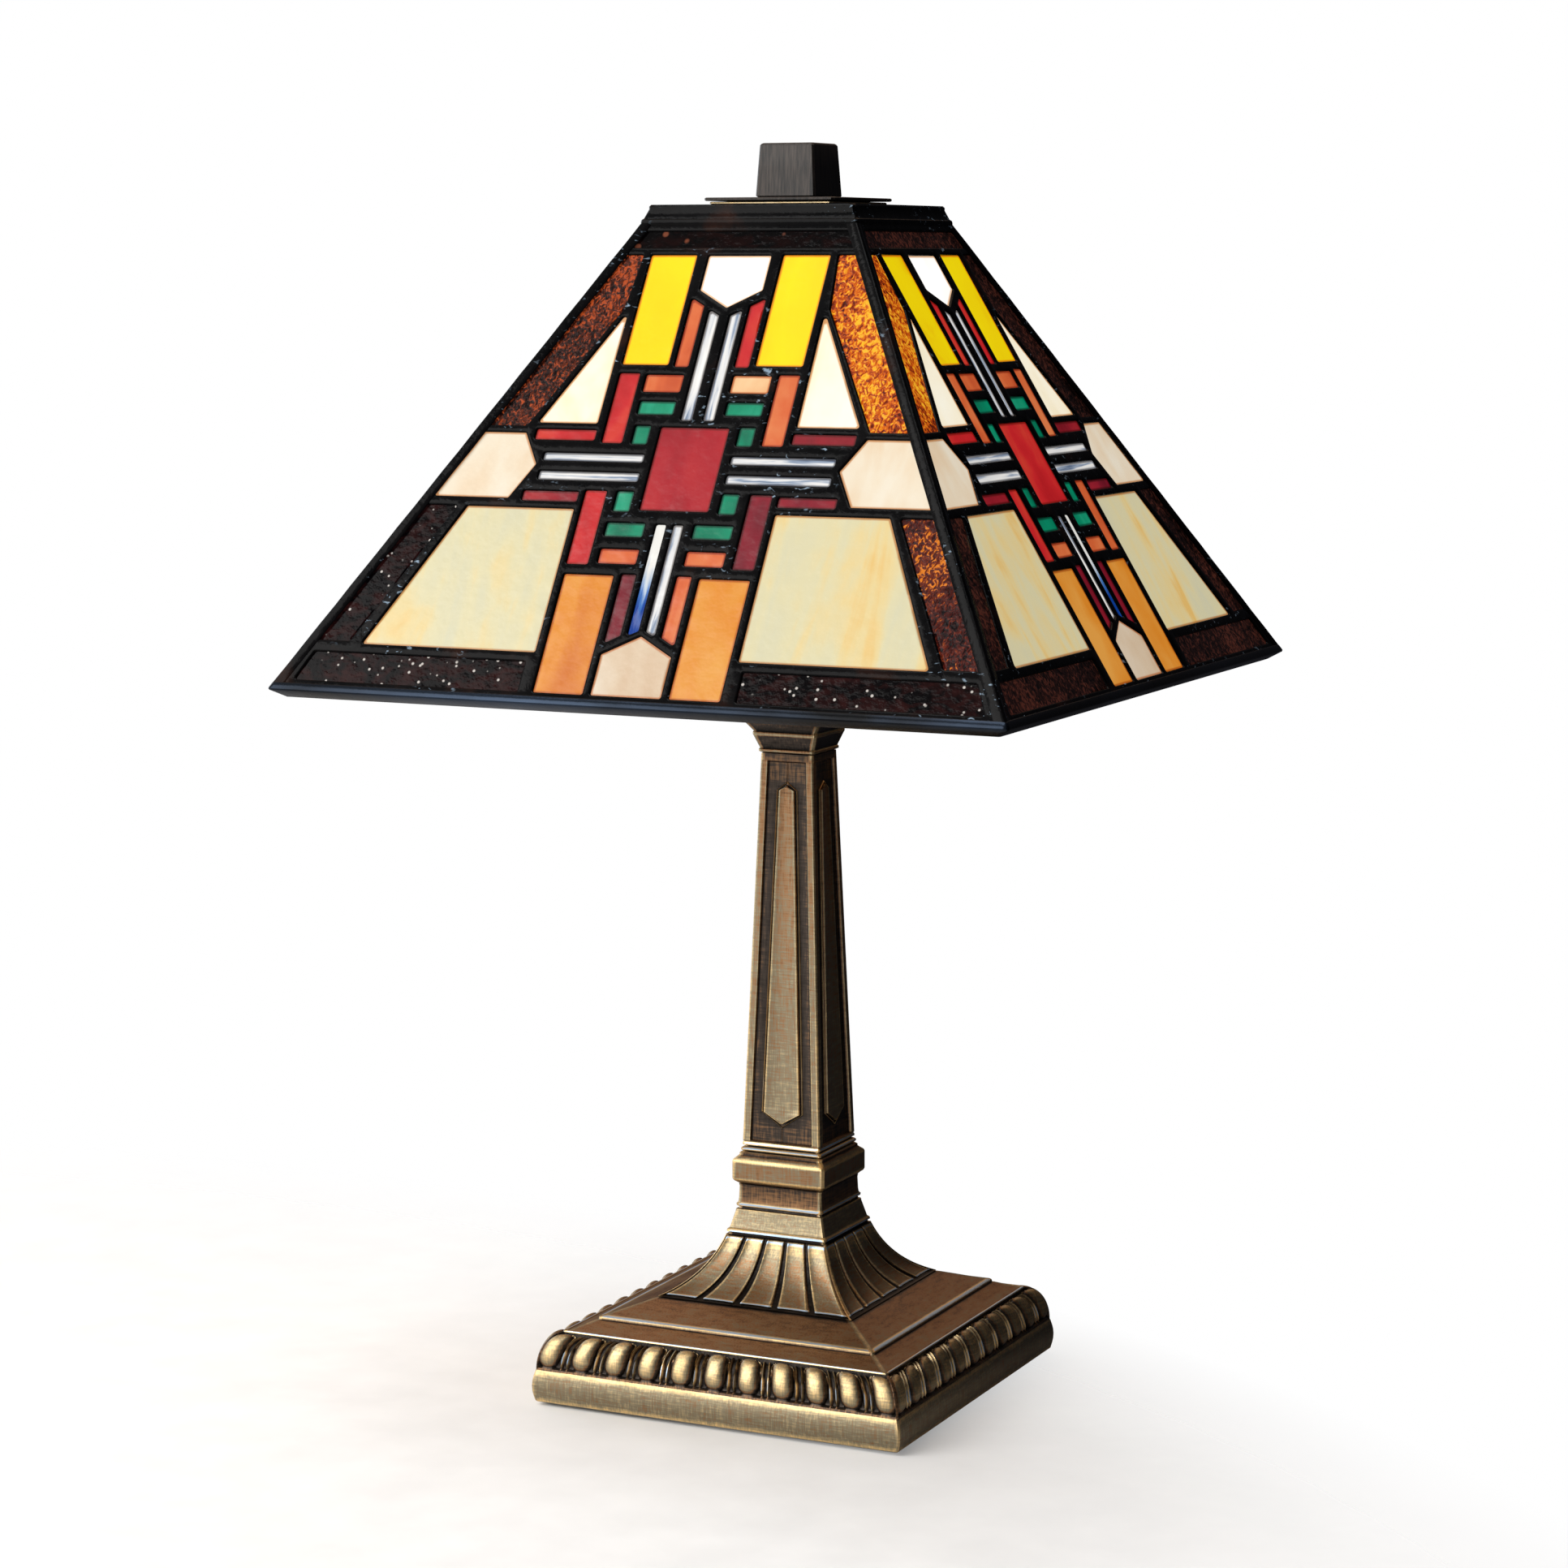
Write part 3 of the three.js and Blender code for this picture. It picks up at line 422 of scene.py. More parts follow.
antique = bronze("antique_bronze")
aged = bronze("aged_bronze", 0.4, 1.2)
dark_bronze = brushed("dark_bronze", (6, 5, 5), (54, 47, 43), 0.42, 0.5, (1300, 1300, 60))
brass = brushed("brass", (150, 112, 48), (222, 184, 104), 0.26, 1.0, (120, 120, 900))
steel = brushed("steel", (120, 120, 118), (186, 186, 182), 0.32)
tin = brushed("tin", (150, 152, 152), (214, 214, 210), 0.28, 1.0, (80, 80, 900))
iron = grained("cast_iron", (34, 32, 30), (76, 72, 66), 0.8, 500)
felt = grained("felt", (18, 40, 26), (42, 74, 52), 1.0, 1400, 0.8)
card = grained("card", (116, 96, 70), (156, 134, 102), 0.95, 700)
phenolic = grained("phenolic", (38, 26, 18), (66, 48, 34), 0.55, 600)
black_plastic = grained("black_plastic", (12, 12, 12), (30, 29, 28), 0.38, 900, 0.15)
lead = patina()
rim_black = rim_metal()


# ---- Foot: plinth, egg and dart moulding and two sloping steps ----

EGGS = 11
EGG_PITCH = 14.8
EGG_HALF = 4.7
DART_OFFSET = 6.1  # from an egg's middle to the ridge beside it
STEPS_PER_EGG = 44
RECESS = 1.8


def egg_relief(along, up):
    """(height, tone) of the moulding at a distance along its bottom edge, and a share of the way up."""
    nearest = round(along / EGG_PITCH)
    nearest = max(-(EGGS // 2), min(EGGS // 2, nearest))
    off = abs(along - nearest * EGG_PITCH)
    bulge = 1 - (off / EGG_HALF) ** 2.6 - (abs(up - 0.48) / 0.43) ** 4
    height, tone = -RECESS, 0.05
    if bulge > 0:
        rise = math.sqrt(bulge)
        height += 2.8 * rise
        tone = mix(0.14, 0.84, smooth_step(0.4, 1.0, rise))
    shell = math.exp(-(((bulge + 0.26) / 0.13) ** 2)) * smooth_step(0.4, 0.6, up)
    knob = smooth_step(0.1, 0.2, up) * smooth_step(0.46, 0.36, up)
    width = 0.36 + 0.22 * knob
    dart = math.exp(-(((off - DART_OFFSET) / width) ** 2))
    dart *= smooth_step(0.0, 0.12, up) * smooth_step(1.0, 0.86, up)
    height += 1.5 * dart + 1.1 * shell
    # the dart knobs and the shell line reach tones past 1.2, which take the painted highlight
    tone = max(tone, 0.95 * dart + 0.5 * dart * knob, 1.2 * shell)
    corner_share = smooth_step(PLINTH_EDGE - 1.5, PLINTH_EDGE - 0.6, abs(along))
    foot_share = smooth_step(0.09, 0.02, up)
    top_share = smooth_step(0.95, 0.99, up)
    height = mix(height, 0.0, max(corner_share, foot_share, top_share))
    tone = mix(tone, 0.3, max(corner_share, foot_share))
    return height, mix(tone, 0.06, top_share)


def moulding_loops():
    rows = 28
    end = PLINTH_EDGE - 0.6
    samples = EGGS * STEPS_PER_EGG
    depth = PLINTH_EDGE - MOULDING_HALF
    rise = MOULDING_TOP - PLINTH_TOP
    loops = []
    for row in range(rows + 1):
        up = row / rows
        angle = up * math.pi / 2
        half = MOULDING_HALF + depth * math.cos(angle)
        z = PLINTH_TOP + rise * math.sin(angle)
        normal = Vector((rise * math.cos(angle), depth * math.sin(angle))).normalized()
        front = []
        for i in range(samples + 1):
            along = mix(-end, end, i / samples)
            height, tone = egg_relief(along, up)
            front.append((along * half / PLINTH_EDGE, half + height * normal.x, z + height * normal.y, tone))
        loops.append(four_sides(front))
    return loops


def make_foot():
    wall = 4.2
    inner = PLINTH_EDGE - 2.8
    plinth = [(inner, foot_low.z + 2, HIDDEN), (inner, foot_low.z, 0.3), (PLINTH_EDGE - 0.3, foot_low.z, 0.7)]
    rows = 6
    for i in range(rows + 1):
        bulge = PLINTH_BULGE * math.sin(math.pi * mix(0.08, 0.94, i / rows))
        # the plinth's top and bottom rows are worn brighter
        tone_level = 0.96 if i in (0, rows) else 0.6
        plinth.append((PLINTH_EDGE + bulge, mix(foot_low.z + 0.5, PLINTH_TOP - 0.5, i / rows), tone_level))
    plinth.append((PLINTH_EDGE, PLINTH_TOP, 0.8))
    lip = LOWER_STEP_HALF + 1.1
    # the lips round the lower step carry painted highlights in their tones of 1.2 and more
    lower = [(0, 0, 0.7), (-0.2, 0.5, PAINTED_GLINT), (-0.9, 0.6, 1.2), (-1.3, 0.35, 0.3), (-2.2, 0.5, 0.47)]
    upper = [(0.9, -1.5, 0.38), (0, -1.3, 0.03), (-0.2, -0.2, 1.2), (-0.7, 0.15, PAINTED_GLINT), (-1.5, 0.25, 1.3)]
    slope = around(MOULDING_HALF, MOULDING_TOP, lower)
    slope += around(lip, LOWER_STEP_TOP, [*upper, (-2.6, 0.45, 0.46)])
    slope += around(pedestal_high.x, foot_high.z, [(1.6, -0.55, 0.38), (-0.4, 0, HIDDEN)])
    underside = [(PIPE_HOLE, foot_high.z), (PIPE_HOLE, LOWER_STEP_TOP - wall)]
    underside += [(LOWER_STEP_HALF - wall, LOWER_STEP_TOP - wall)]
    underside += [(MOULDING_HALF - wall, MOULDING_TOP - wall)]
    underside += [(PLINTH_EDGE - wall, PLINTH_TOP), (inner, foot_low.z + 2)]
    slope += hidden(underside)
    shape = Shape().loft(square_loft(plinth, edge=0.86))
    shape.loft(moulding_loops())
    shape.loft(square_loft(slope, edge=0.72))
    piece = make_piece("foot", "stand", shape, [antique], "bronze")
    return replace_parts(piece, "base_foot")


# ---- Pedestal: five fanned flutes on each side of a flare, a plain band and a neck ----

FLUTES = 5
FLUTE_HALF = 6.7
FLUTE_DEPTH = 1.3
PEDESTAL_HOLLOW = 0.44


def flare_point(share):
    """(half, z) on the pedestal's flare."""
    foot = Vector((pedestal_high.x, pedestal_low.z))
    top = Vector((FLARE_TOP_HALF, FLARE_TOP))
    pull = foot.lerp(top, 0.5).lerp(Vector((top.x, foot.y)), PEDESTAL_HOLLOW)
    return foot * (1 - share) ** 2 + pull * (2 * share * (1 - share)) + top * share**2


def flute_section(half):
    """(across, depth, tone) from left to right, at a half width, for panels and the grooves between them."""
    scale = half / pedestal_high.x
    pitch = 2 * pedestal_high.x / FLUTES
    flank = [(FLUTE_HALF * 0.4, 0.5, 0.56), (FLUTE_HALF - 1.3, 0.25, 0.62), (FLUTE_HALF - 0.5, 0.0, 0.98)]
    flank += [(FLUTE_HALF + 0.1, 0.15, 0.7), (FLUTE_HALF + 0.7, FLUTE_DEPTH, 0.05)]
    flute = [(-pitch / 2, FLUTE_DEPTH, 0.03)]
    flute += [(-offset, depth, tone) for offset, depth, tone in reversed(flank)]
    flute += [(0, 0.55, 0.58), *flank]
    section = []
    for i in range(FLUTES):
        middle = (i - (FLUTES - 1) / 2) * pitch
        section.extend(((middle + offset) * scale, depth, tone) for offset, depth, tone in flute)
    end = half - 0.5
    section[0] = (-end, 0.0, 0.9)
    section.append((end, 0.0, 0.9))
    return section


def flute_loop(share, raised, deeper=0.0, painted_highlight=0.0):
    """A loop on the flare. Raised is 1 at the panels' full height and 0 in the grooves beyond their ends. The
    last argument adds a painted highlight to the raised panels' tones.
    """
    half, z = flare_point(share)
    section = flute_section(half)
    front = []
    for place, (across, depth, tone) in enumerate(section):
        at_corner = place in (0, len(section) - 1)
        gain = painted_highlight if depth < 0.6 else 0.0
        sunk = 0.0 if at_corner else mix(FLUTE_DEPTH, depth, raised) + deeper
        shade = tone if at_corner else mix(0.05, tone, raised) + gain
        front.append((across, half - sunk, z, shade))
    return four_sides(front)


def make_pedestal():
    wall = 5.5
    last = 20
    end = 0.965
    loops = [flute_loop(0.0, 0.0), flute_loop(0.035, 0.0)]
    # the last argument paints highlights on the flutes' lower ends, growing towards their tops, and on their
    # upper ends
    loops += [flute_loop(0.05, 0.85, painted_highlight=1.1), flute_loop(0.07, 1.0, painted_highlight=0.9)]
    for i in range(last + 1):
        highlight_rise = 0.3 * smooth_step(0.72, 1.0, i / last)
        loops.append(flute_loop(mix(0.085, 0.9, i / last), 1.0, painted_highlight=highlight_rise - 0.06))
    loops += [flute_loop(0.93, 1.0, 0.1, 0.9), flute_loop(0.95, 0.6, 0.2), flute_loop(end, 0.0, 0.2)]
    # the ledge and the band's upper edge carry painted highlights in their tones of 1.1 and more
    ledge = [(-0.5, -0.5, 0.1), (0.25, 0, PAINTED_GLINT), (0.1, 0.8, 1.2), (-0.7, 1.5, 0.6)]
    band = [(0.4, -1.2, 0.62), (0.3, -0.4, 0.9), (-0.5, -0.1, 0.05), (-0.7, 0.5, 0.05)]
    band += [(0.1, 1.0, 1.1), (0.2, 1.8, PAINTED_GLINT), (-0.4, 2.5, 0.4)]
    above = around(*flare_point(end), [(0, 0, 0.1), (-0.9, 0.05, 0.05)])
    above += around(FLARE_TOP_HALF, FLARE_TOP, ledge)
    above += around(BAND_TOP_HALF, BAND_TOP, band)
    above += [(NECK_HALF, BAND_TOP + 4.0, 0.32)]
    above += around(NECK_HALF, pedestal_high.z, [(-0.2, -1.0, 0.28), (0, 0, 0.22)])
    cavity = [(PIPE_HOLE, pedestal_high.z), (PIPE_HOLE, FLARE_TOP + 2)]
    cavity += [(FLARE_TOP_HALF - wall, FLARE_TOP + 2), (FLARE_TOP_HALF - wall, FLARE_TOP)]
    cavity += [(FLARE_TOP_HALF + 4.1, pedestal_low.z + 9)]
    cavity += [(pedestal_high.x - wall, pedestal_low.z), (pedestal_high.x, pedestal_low.z)]
    shape = Shape().loft(loops)
    shape.loft(square_loft(above + hidden(cavity), edge=0.8))
    piece = make_piece("fluted_pedestal", "stand", shape, [antique], "bronze")
    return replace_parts(piece, "pedestal")


# ---- Stem: collar, panelled column and capital ----

BORDER = 3.3  # width of the strip along each of the column's edges
PANEL_DEPTH = 1.15
TONGUE_FOOT_HALF = 7.75
TONGUE_TOP_HALF = 3.15
OUTLINE_GAP = 1.1


def make_collar():
    half = collar_high.x
    bottom = [(-2.0, 0, 0.1), (-1.5, 0.5, 0.3), (-0.4, 1.3, 0.85), (0, 2.1, 0.98), (0, 3.0, 0.5)]
    top = [(0, -4.6, 0.5), (0, -3.7, 0.98), (-0.3, -2.9, 0.9), (-1.5, -1.9, 0.5)]
    top += [(-2.2, -1.2, 0.12), (-2.2, -0.5, 0.3), (-2.8, 0, 0.6)]
    profile = hidden([(PIPE_HOLE, collar_low.z)]) + around(half, collar_low.z, bottom)
    profile += around(half, collar_high.z, top) + hidden([(PIPE_HOLE, collar_high.z)])
    piece = make_piece("collar", "stand", square_ring(profile, edge=0.95, corner=0.9), [antique], "bronze")
    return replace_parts(piece, "stem_collar")


def column_half(z):
    return mix(column_high.x, COLUMN_TOP_HALF, (z - column_low.z) / (column_high.z - column_low.z))


def tongue_half(z, margin=0.0):
    """Half the width of the raised tongue, pointed at both ends, or of a line a margin outside it."""
    foot, shoulder, neck, tip = (column_low.z + up for up in (12.3, 16.7, 147.1, 148.9))
    foot, tip = foot - 1.3 * margin, tip + 1.3 * margin
    width = mix(TONGUE_FOOT_HALF, TONGUE_TOP_HALF, (z - shoulder) / (neck - shoulder)) + margin
    if z < shoulder:
        width = (TONGUE_FOOT_HALF + margin) * (z - foot) / (shoulder - foot)
    if z > neck:
        width = (TONGUE_TOP_HALF + margin) * (tip - z) / (tip - neck)
    return width


def panel_point(seen, across, depth, tone):
    """A point of the tongue or of the line round it, which lies flat in the panel where they aren't seen."""
    return (across, depth, tone) if seen else (across, 1, 0.24)


def column_loop(z, sunk):
    """A loop round the column. Sunk is 1 where the panel is at its depth and 0 at the panel's ends."""
    half = column_half(z)
    width = tongue_half(z)
    outline = tongue_half(z, OUTLINE_GAP)
    raised = width > 0
    outlined = outline > 0
    width = max(0.0, width)
    outline = max(0.0, outline)
    edge = half - BORDER * mix(0.72, 1, half / column_high.x)
    # painted shade: all tones darken towards the top, where the column stands under the shade
    tone_level = 1 - 0.34 * (z - column_low.z) / (column_high.z - column_low.z)
    section = [
        panel_point(raised, 0, 0.15, 0.62 * tone_level),
        panel_point(raised, width - 0.9, 0.15, 0.62 * tone_level),
        panel_point(raised, width - 0.4, 0.0, 0.86 * tone_level),
        panel_point(raised, width, 0.05, 0.9 * tone_level),
        panel_point(raised, width + 0.4, 1, 0.03),
        panel_point(outlined, outline - 0.4, 1, 0.06),
        # the outline's crest, at a tone of 1.25, takes part of the painted highlight
        panel_point(outlined, outline, 0.55, 1.25),
        panel_point(outlined, outline + 0.5, 1, 0.1),
        (edge - 1.0, 1, 0.25),
        (edge - 0.45, 0.9, 0.05),
        (edge, 0, 0.86 * tone_level),
        (edge + 0.5, 0, 0.62 * tone_level),
        (half - 1.2, 0, 0.62 * tone_level),
        (half - 0.5, 0, 0.98 * tone_level),
    ]
    front = []
    for across, depth, tone in section:
        across = min(max(0.0, across), half - 0.5)
        front.append((across, half - depth * PANEL_DEPTH * sunk, z, mix(0.4 * tone_level, tone, max(sunk, 0.3))))
    left = [(-across, out, level, tone) for across, out, level, tone in reversed(front[1:])]
    return four_sides(left + front)


def make_column():
    z, wall = column_low.z, 2.2
    panel_start, panel_end = 4.3, 158.9
    # the two ledges of the column's foot carry painted highlights in their tones past 1.2
    foot = [(-wall, 0, 0.1), (-0.2, 0, 0.1), (0.4, 0.5, 0.6), (0.4, 1.2, PAINTED_GLINT), (-0.2, 1.7, 0.9)]
    foot += [(-0.9, 1.9, 0.03), (-0.9, 2.3, 0.03), (-0.1, 2.6, 0.8), (-0.1, 3.4, PAINTED_GLINT), (-0.4, 3.9, 0.6)]
    foot = around(column_high.x, z, foot) + [(column_half(z + panel_start), z + panel_start, 0.6)]
    rises = [4.8, 10.6, 10.95, 11.4, 12.2, 12.6, 13.4, 14.4, 15.5, 16.7]
    rises += [mix(20, 144, i / 15) for i in range(16)]
    rises += [147.1, 147.7, 148.3, 148.8, 149.3, 149.9, 150.25, 150.6, 158.2]
    loops = [column_loop(z + panel_start, 0), *(column_loop(z + rise, 1) for rise in rises)]
    loops.append(column_loop(z + panel_end, 0))
    top = [(column_half(z + panel_end), z + panel_end, 0.3), (COLUMN_TOP_HALF, column_high.z, 0.2)]
    top += hidden([(COLUMN_TOP_HALF - wall, column_high.z), (column_high.x - wall, z)])
    shape = Shape().loft(square_loft(foot, edge=0.95, corner=0.5))
    shape.loft(loops)
    shape.loft(square_loft(top, edge=0.9, corner=0.5))
    piece = make_piece("panelled_column", "stand", shape, [antique], "bronze")
    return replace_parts(piece, "column")


def make_capital():
    z, top, half = capital_low.z, capital_high.z, capital_high.x
    cove = [(0, 0, 0.2), (0.9, 0.5, 0.7), (0.9, 1.3, 0.5), (0.5, 1.8, 0.15), (1.2, 3.6, 0.28)]
    cove += [(2.4, 6.8, 0.34), (2.7, 7.4, 0.85), (2.7, 8.2, 0.55), (2.4, 8.7, 0.1), (3.6, 10.4, 0.3)]
    abacus = [(-0.9, 12.7, 0.38), (-0.1, 13.2, 0.9), (0, 13.9, 0.5)]
    profile = hidden([(PIPE_HOLE, z)]) + around(COLUMN_TOP_HALF, z, cove) + around(half, z, abacus)
    profile += around(half, top, [(0, -0.8, 0.34), (-0.6, 0, 0.7)]) + hidden([(PIPE_HOLE, top)])
    ring = square_ring(profile, edge=0.85, corner=0.8)
    piece = make_piece("moulded_capital", "stand", ring, [aged], "dark_bronze")
    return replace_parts(piece, "capital")


# ---- Glass recipes ----


GLASS_GLOW = 0.94


def finish_glass(tree, shader, color, glow, gloss, shine=0.25):
    # the emission is painted light: it stands in for the bulb's light coming through the glass, and the base
    # colour is darkened to leave room for it
    inputs = {
        "Base Color": blend_color(tree, 0.78, color, (0, 0, 0, 1)),
        "Emission Color": color,
        "Emission Strength": glow * GLASS_GLOW,
        "Roughness": gloss,
        "Specular IOR Level": shine,
    }
    feed(tree, shader, inputs)


def tinted(tree, factor, low, high, tints, places):
    """Colours from 0 to 255 at places along a factor that runs from low to high."""
    stops = [(place, rgb(*tint)) for place, tint in zip(places, tints)]
    return ramp(tree, map_range(tree, factor, low, high, 0.0, 1.0), stops)


def opal(name, tints, edge, glow, places=(0, 0.5, 1), streak=(0.05, 0.018), clouds=0.35, gloss=0.22):
    """Lit opalescent glass. The pane field holds millimetres across and up a face, and a number per pane."""
    material, tree, shader = new_material("glass_" + name)
    pane = attribute(tree, "pane", "Vector")
    streaks = noise(tree, scaled(tree, pane, (*streak, 1)), 1.0, 4, 0.6)
    cloud = noise(tree, scaled(tree, pane, (0.045, 0.045, 1)), 1.0, 3)
    color = tinted(tree, weigh(tree, cloud, streaks, clouds), 0.32, 0.68, tints, places)
    near_lead = map_range(tree, attribute(tree, "tone", "Fac"), 0.25, 0.55, 0.0, 0.85)
    finish_glass(tree, shader, blend_color(tree, near_lead, color, rgb(*edge)), glow, gloss)
    bump(tree, shader, noise(tree, scaled(tree, pane, (0.25, 0.25, 1)), 1.0), 0.12, 0.001)
    return material


def ripple(name, tints, glow, places=(0, 0.5, 1)):
    """Dark glass with a hammered surface."""
    material, tree, shader = new_material("glass_" + name)
    pane = attribute(tree, "pane", "Vector")
    wave = noise(tree, scaled(tree, pane, (0.55, 0.42, 1)), 1.0, 3, 1.2)
    cloud = noise(tree, scaled(tree, pane, (0.04, 0.03, 1)), 1.0)
    color = tinted(tree, weigh(tree, wave, cloud, 0.7), 0.38, 0.62, tints, places)
    finish_glass(tree, shader, color, glow, 0.14, 0.08)
    bump(tree, shader, wave, 0.4, 0.0012)
    return material


def speckled(name, ground, patch, speck, glow, density):
    """Near-black glass with bright seeds in it."""
    material, tree, shader = new_material("glass_" + name)
    pane = attribute(tree, "pane", "Vector")
    cloud = noise(tree, scaled(tree, pane, (0.12, 0.2, 1)), 1.0, 4, 0.8)
    color = ramp(tree, cloud, [(0.42, rgb(*ground)), (0.66, rgb(*patch))])
    cells = {"Vector": scaled(tree, pane, (density, density, 1)), "Scale": 1.0}
    seed = map_range(tree, add_node(tree, "ShaderNodeTexVoronoi", cells).outputs[0], 0.11, 0.19, 1.0, 0.0)
    rare = map_range(tree, noise(tree, scaled(tree, pane, (0.07, 0.11, 1)), 1.0, 1), 0.34, 0.44, 0.0, 1.0)
    color = blend_color(tree, math_node(tree, "MULTIPLY", seed, rare), color, rgb(*speck))
    finish_glass(tree, shader, color, glow, 0.12, 0.05)
    bump(tree, shader, noise(tree, scaled(tree, pane, (0.35, 0.35, 1)), 1.0, 3), 0.25, 0.001)
    return material


def cobalt():
    """White glass that runs into blue towards its bottom end."""
    material, tree, shader = new_material("glass_cobalt")
    pane = attribute(tree, "pane", "Vector")
    up = add_node(tree, "ShaderNodeSeparateXYZ", {0: pane}).outputs["Y"]
    streaks = noise(tree, scaled(tree, pane, (0.5, 0.06, 1)), 1.0, 3, 0.5)
    level = map_range(tree, up, 36, 66, 0.0, 1.0)
    spread = math_node(tree, "MULTIPLY", math_node(tree, "SUBTRACT", streaks, 0.5), 0.9)
    stops = [(0.1, rgb(14, 62, 150)), (0.32, rgb(66, 118, 190))]
    stops += [(0.5, rgb(176, 194, 214)), (0.8, rgb(240, 238, 232))]
    color = ramp(tree, math_node(tree, "ADD", level, spread), stops)
    finish_glass(tree, shader, color, 0.8, 0.12)
    bump(tree, shader, streaks, 0.15, 0.001)
    return material


# name: (tints from the darkest streak to the lightest, tint beside the lead, glow)
OPALS = {
    "white": ([(240, 236, 230), (254, 252, 248), (255, 255, 255)], (214, 160, 104), 1.1),
    "yellow": ([(236, 182, 0), (246, 214, 0), (250, 226, 0)], (228, 118, 8), 0.86, (0, 0.3, 1)),
    "cream": ([(240, 222, 178), (250, 240, 214), (252, 248, 232)], (200, 130, 60), 0.95),
    "arrow": ([(236, 208, 172), (242, 226, 200), (246, 238, 220)], (200, 130, 66), 0.8),
    "amber": ([(216, 116, 20), (234, 146, 44), (240, 168, 74)], (180, 84, 12), 0.74),
    "peach": ([(216, 184, 150), (226, 202, 172), (236, 220, 198)], (196, 116, 60), 0.76),
    "green": ([(0, 104, 76), (0, 148, 108), (54, 186, 146)], (0, 60, 44), 0.72),
    "crimson": ([(150, 18, 32), (178, 30, 42), (194, 44, 48)], (110, 14, 16), 0.74),
    "scarlet": ([(176, 18, 26), (208, 36, 40), (226, 76, 52)], (140, 20, 12), 0.76),
    "ruby": ([(112, 12, 26), (156, 26, 40), (196, 52, 52)], (90, 10, 12), 0.72),
    "maroon": ([(84, 12, 26), (134, 20, 40), (170, 34, 48)], (70, 8, 12), 0.72),
    "orange": ([(188, 66, 34), (224, 106, 56), (238, 146, 90)], (150, 44, 16), 0.76),
    "apricot": ([(226, 134, 76), (240, 178, 122), (250, 216, 166)], (190, 92, 36), 0.8),
}
FIELD = [(242, 198, 116), (240, 216, 154), (230, 220, 176), (220, 216, 184)]
SILVER = [(64, 84, 116), (150, 164, 184), (226, 226, 226), (255, 250, 242)]
SILVER_PLACES = (0, 0.3, 0.5, 1)
# name: (tints from dark to light, glow, their places)
RIPPLES = {
    "amber_ripple": ([(74, 20, 8), (150, 50, 10), (216, 98, 16), (252, 186, 42)], 0.84, (0, 0.26, 0.6, 1)),
    "umber_ripple": ([(12, 6, 6), (44, 18, 13), (108, 44, 22), (190, 80, 34)], 0.66, (0, 0.4, 0.75, 1)),
    "bark_ripple": ([(8, 5, 5), (34, 17, 15), (84, 42, 32)], 0.6),
    "wine_ripple": ([(18, 7, 8), (80, 26, 20), (132, 52, 26), (236, 132, 34)], 0.66, (0, 0.5, 0.84, 1)),
}
GLASS = {
    **{name: opal(name, *recipe) for name, recipe in OPALS.items()},
    **{name: ripple(name, *recipe) for name, recipe in RIPPLES.items()},
    "field": opal("field", FIELD, (190, 120, 56), 0.74, (0, 0.24, 0.52, 1), (0.07, 0.012), 0.3),
    "silver": opal("silver", SILVER, (96, 88, 84), 0.84, SILVER_PLACES, (0.32, 0.03), 0.2, 0.12),
    "silver_level": opal("silver_level", SILVER, (70, 70, 76), 0.84, SILVER_PLACES, (0.03, 0.55), 0.2, 0.12),
    "cobalt": cobalt(),
    "night": speckled("night", (7, 5, 6), (30, 10, 9), (150, 84, 60), 0.4, 0.12),
    "seeded": speckled("seeded", (8, 5, 7), (52, 22, 21), (236, 228, 220), 0.5, 0.27),
}


# ---- The shade's panes, in millimetres across and up one face, from the middle of its bottom edge ----


def block(left, right, bottom, top):
    return [(left, bottom), (right, bottom), (right, top), (left, top)]


# name: (corners, glass)
MIDDLE_PANES = {
    "house": ([(-14.5, 5.3), (14.5, 5.3), (14.5, 22), (0, 30), (-14.5, 22)], "peach"),
    "centre": (block(-14.3, 14.3, 81.8, 117), "crimson"),
    "shield": ([(0, 168.8), (13.2, 176.5), (13.2, 191.7), (-13.2, 191.7), (-13.2, 176.5)], "white"),
    "top_strip": ([(-47.6, 195.2), (47.6, 195.2), (43.8, 202.5), (-43.8, 202.5)], "night"),
}

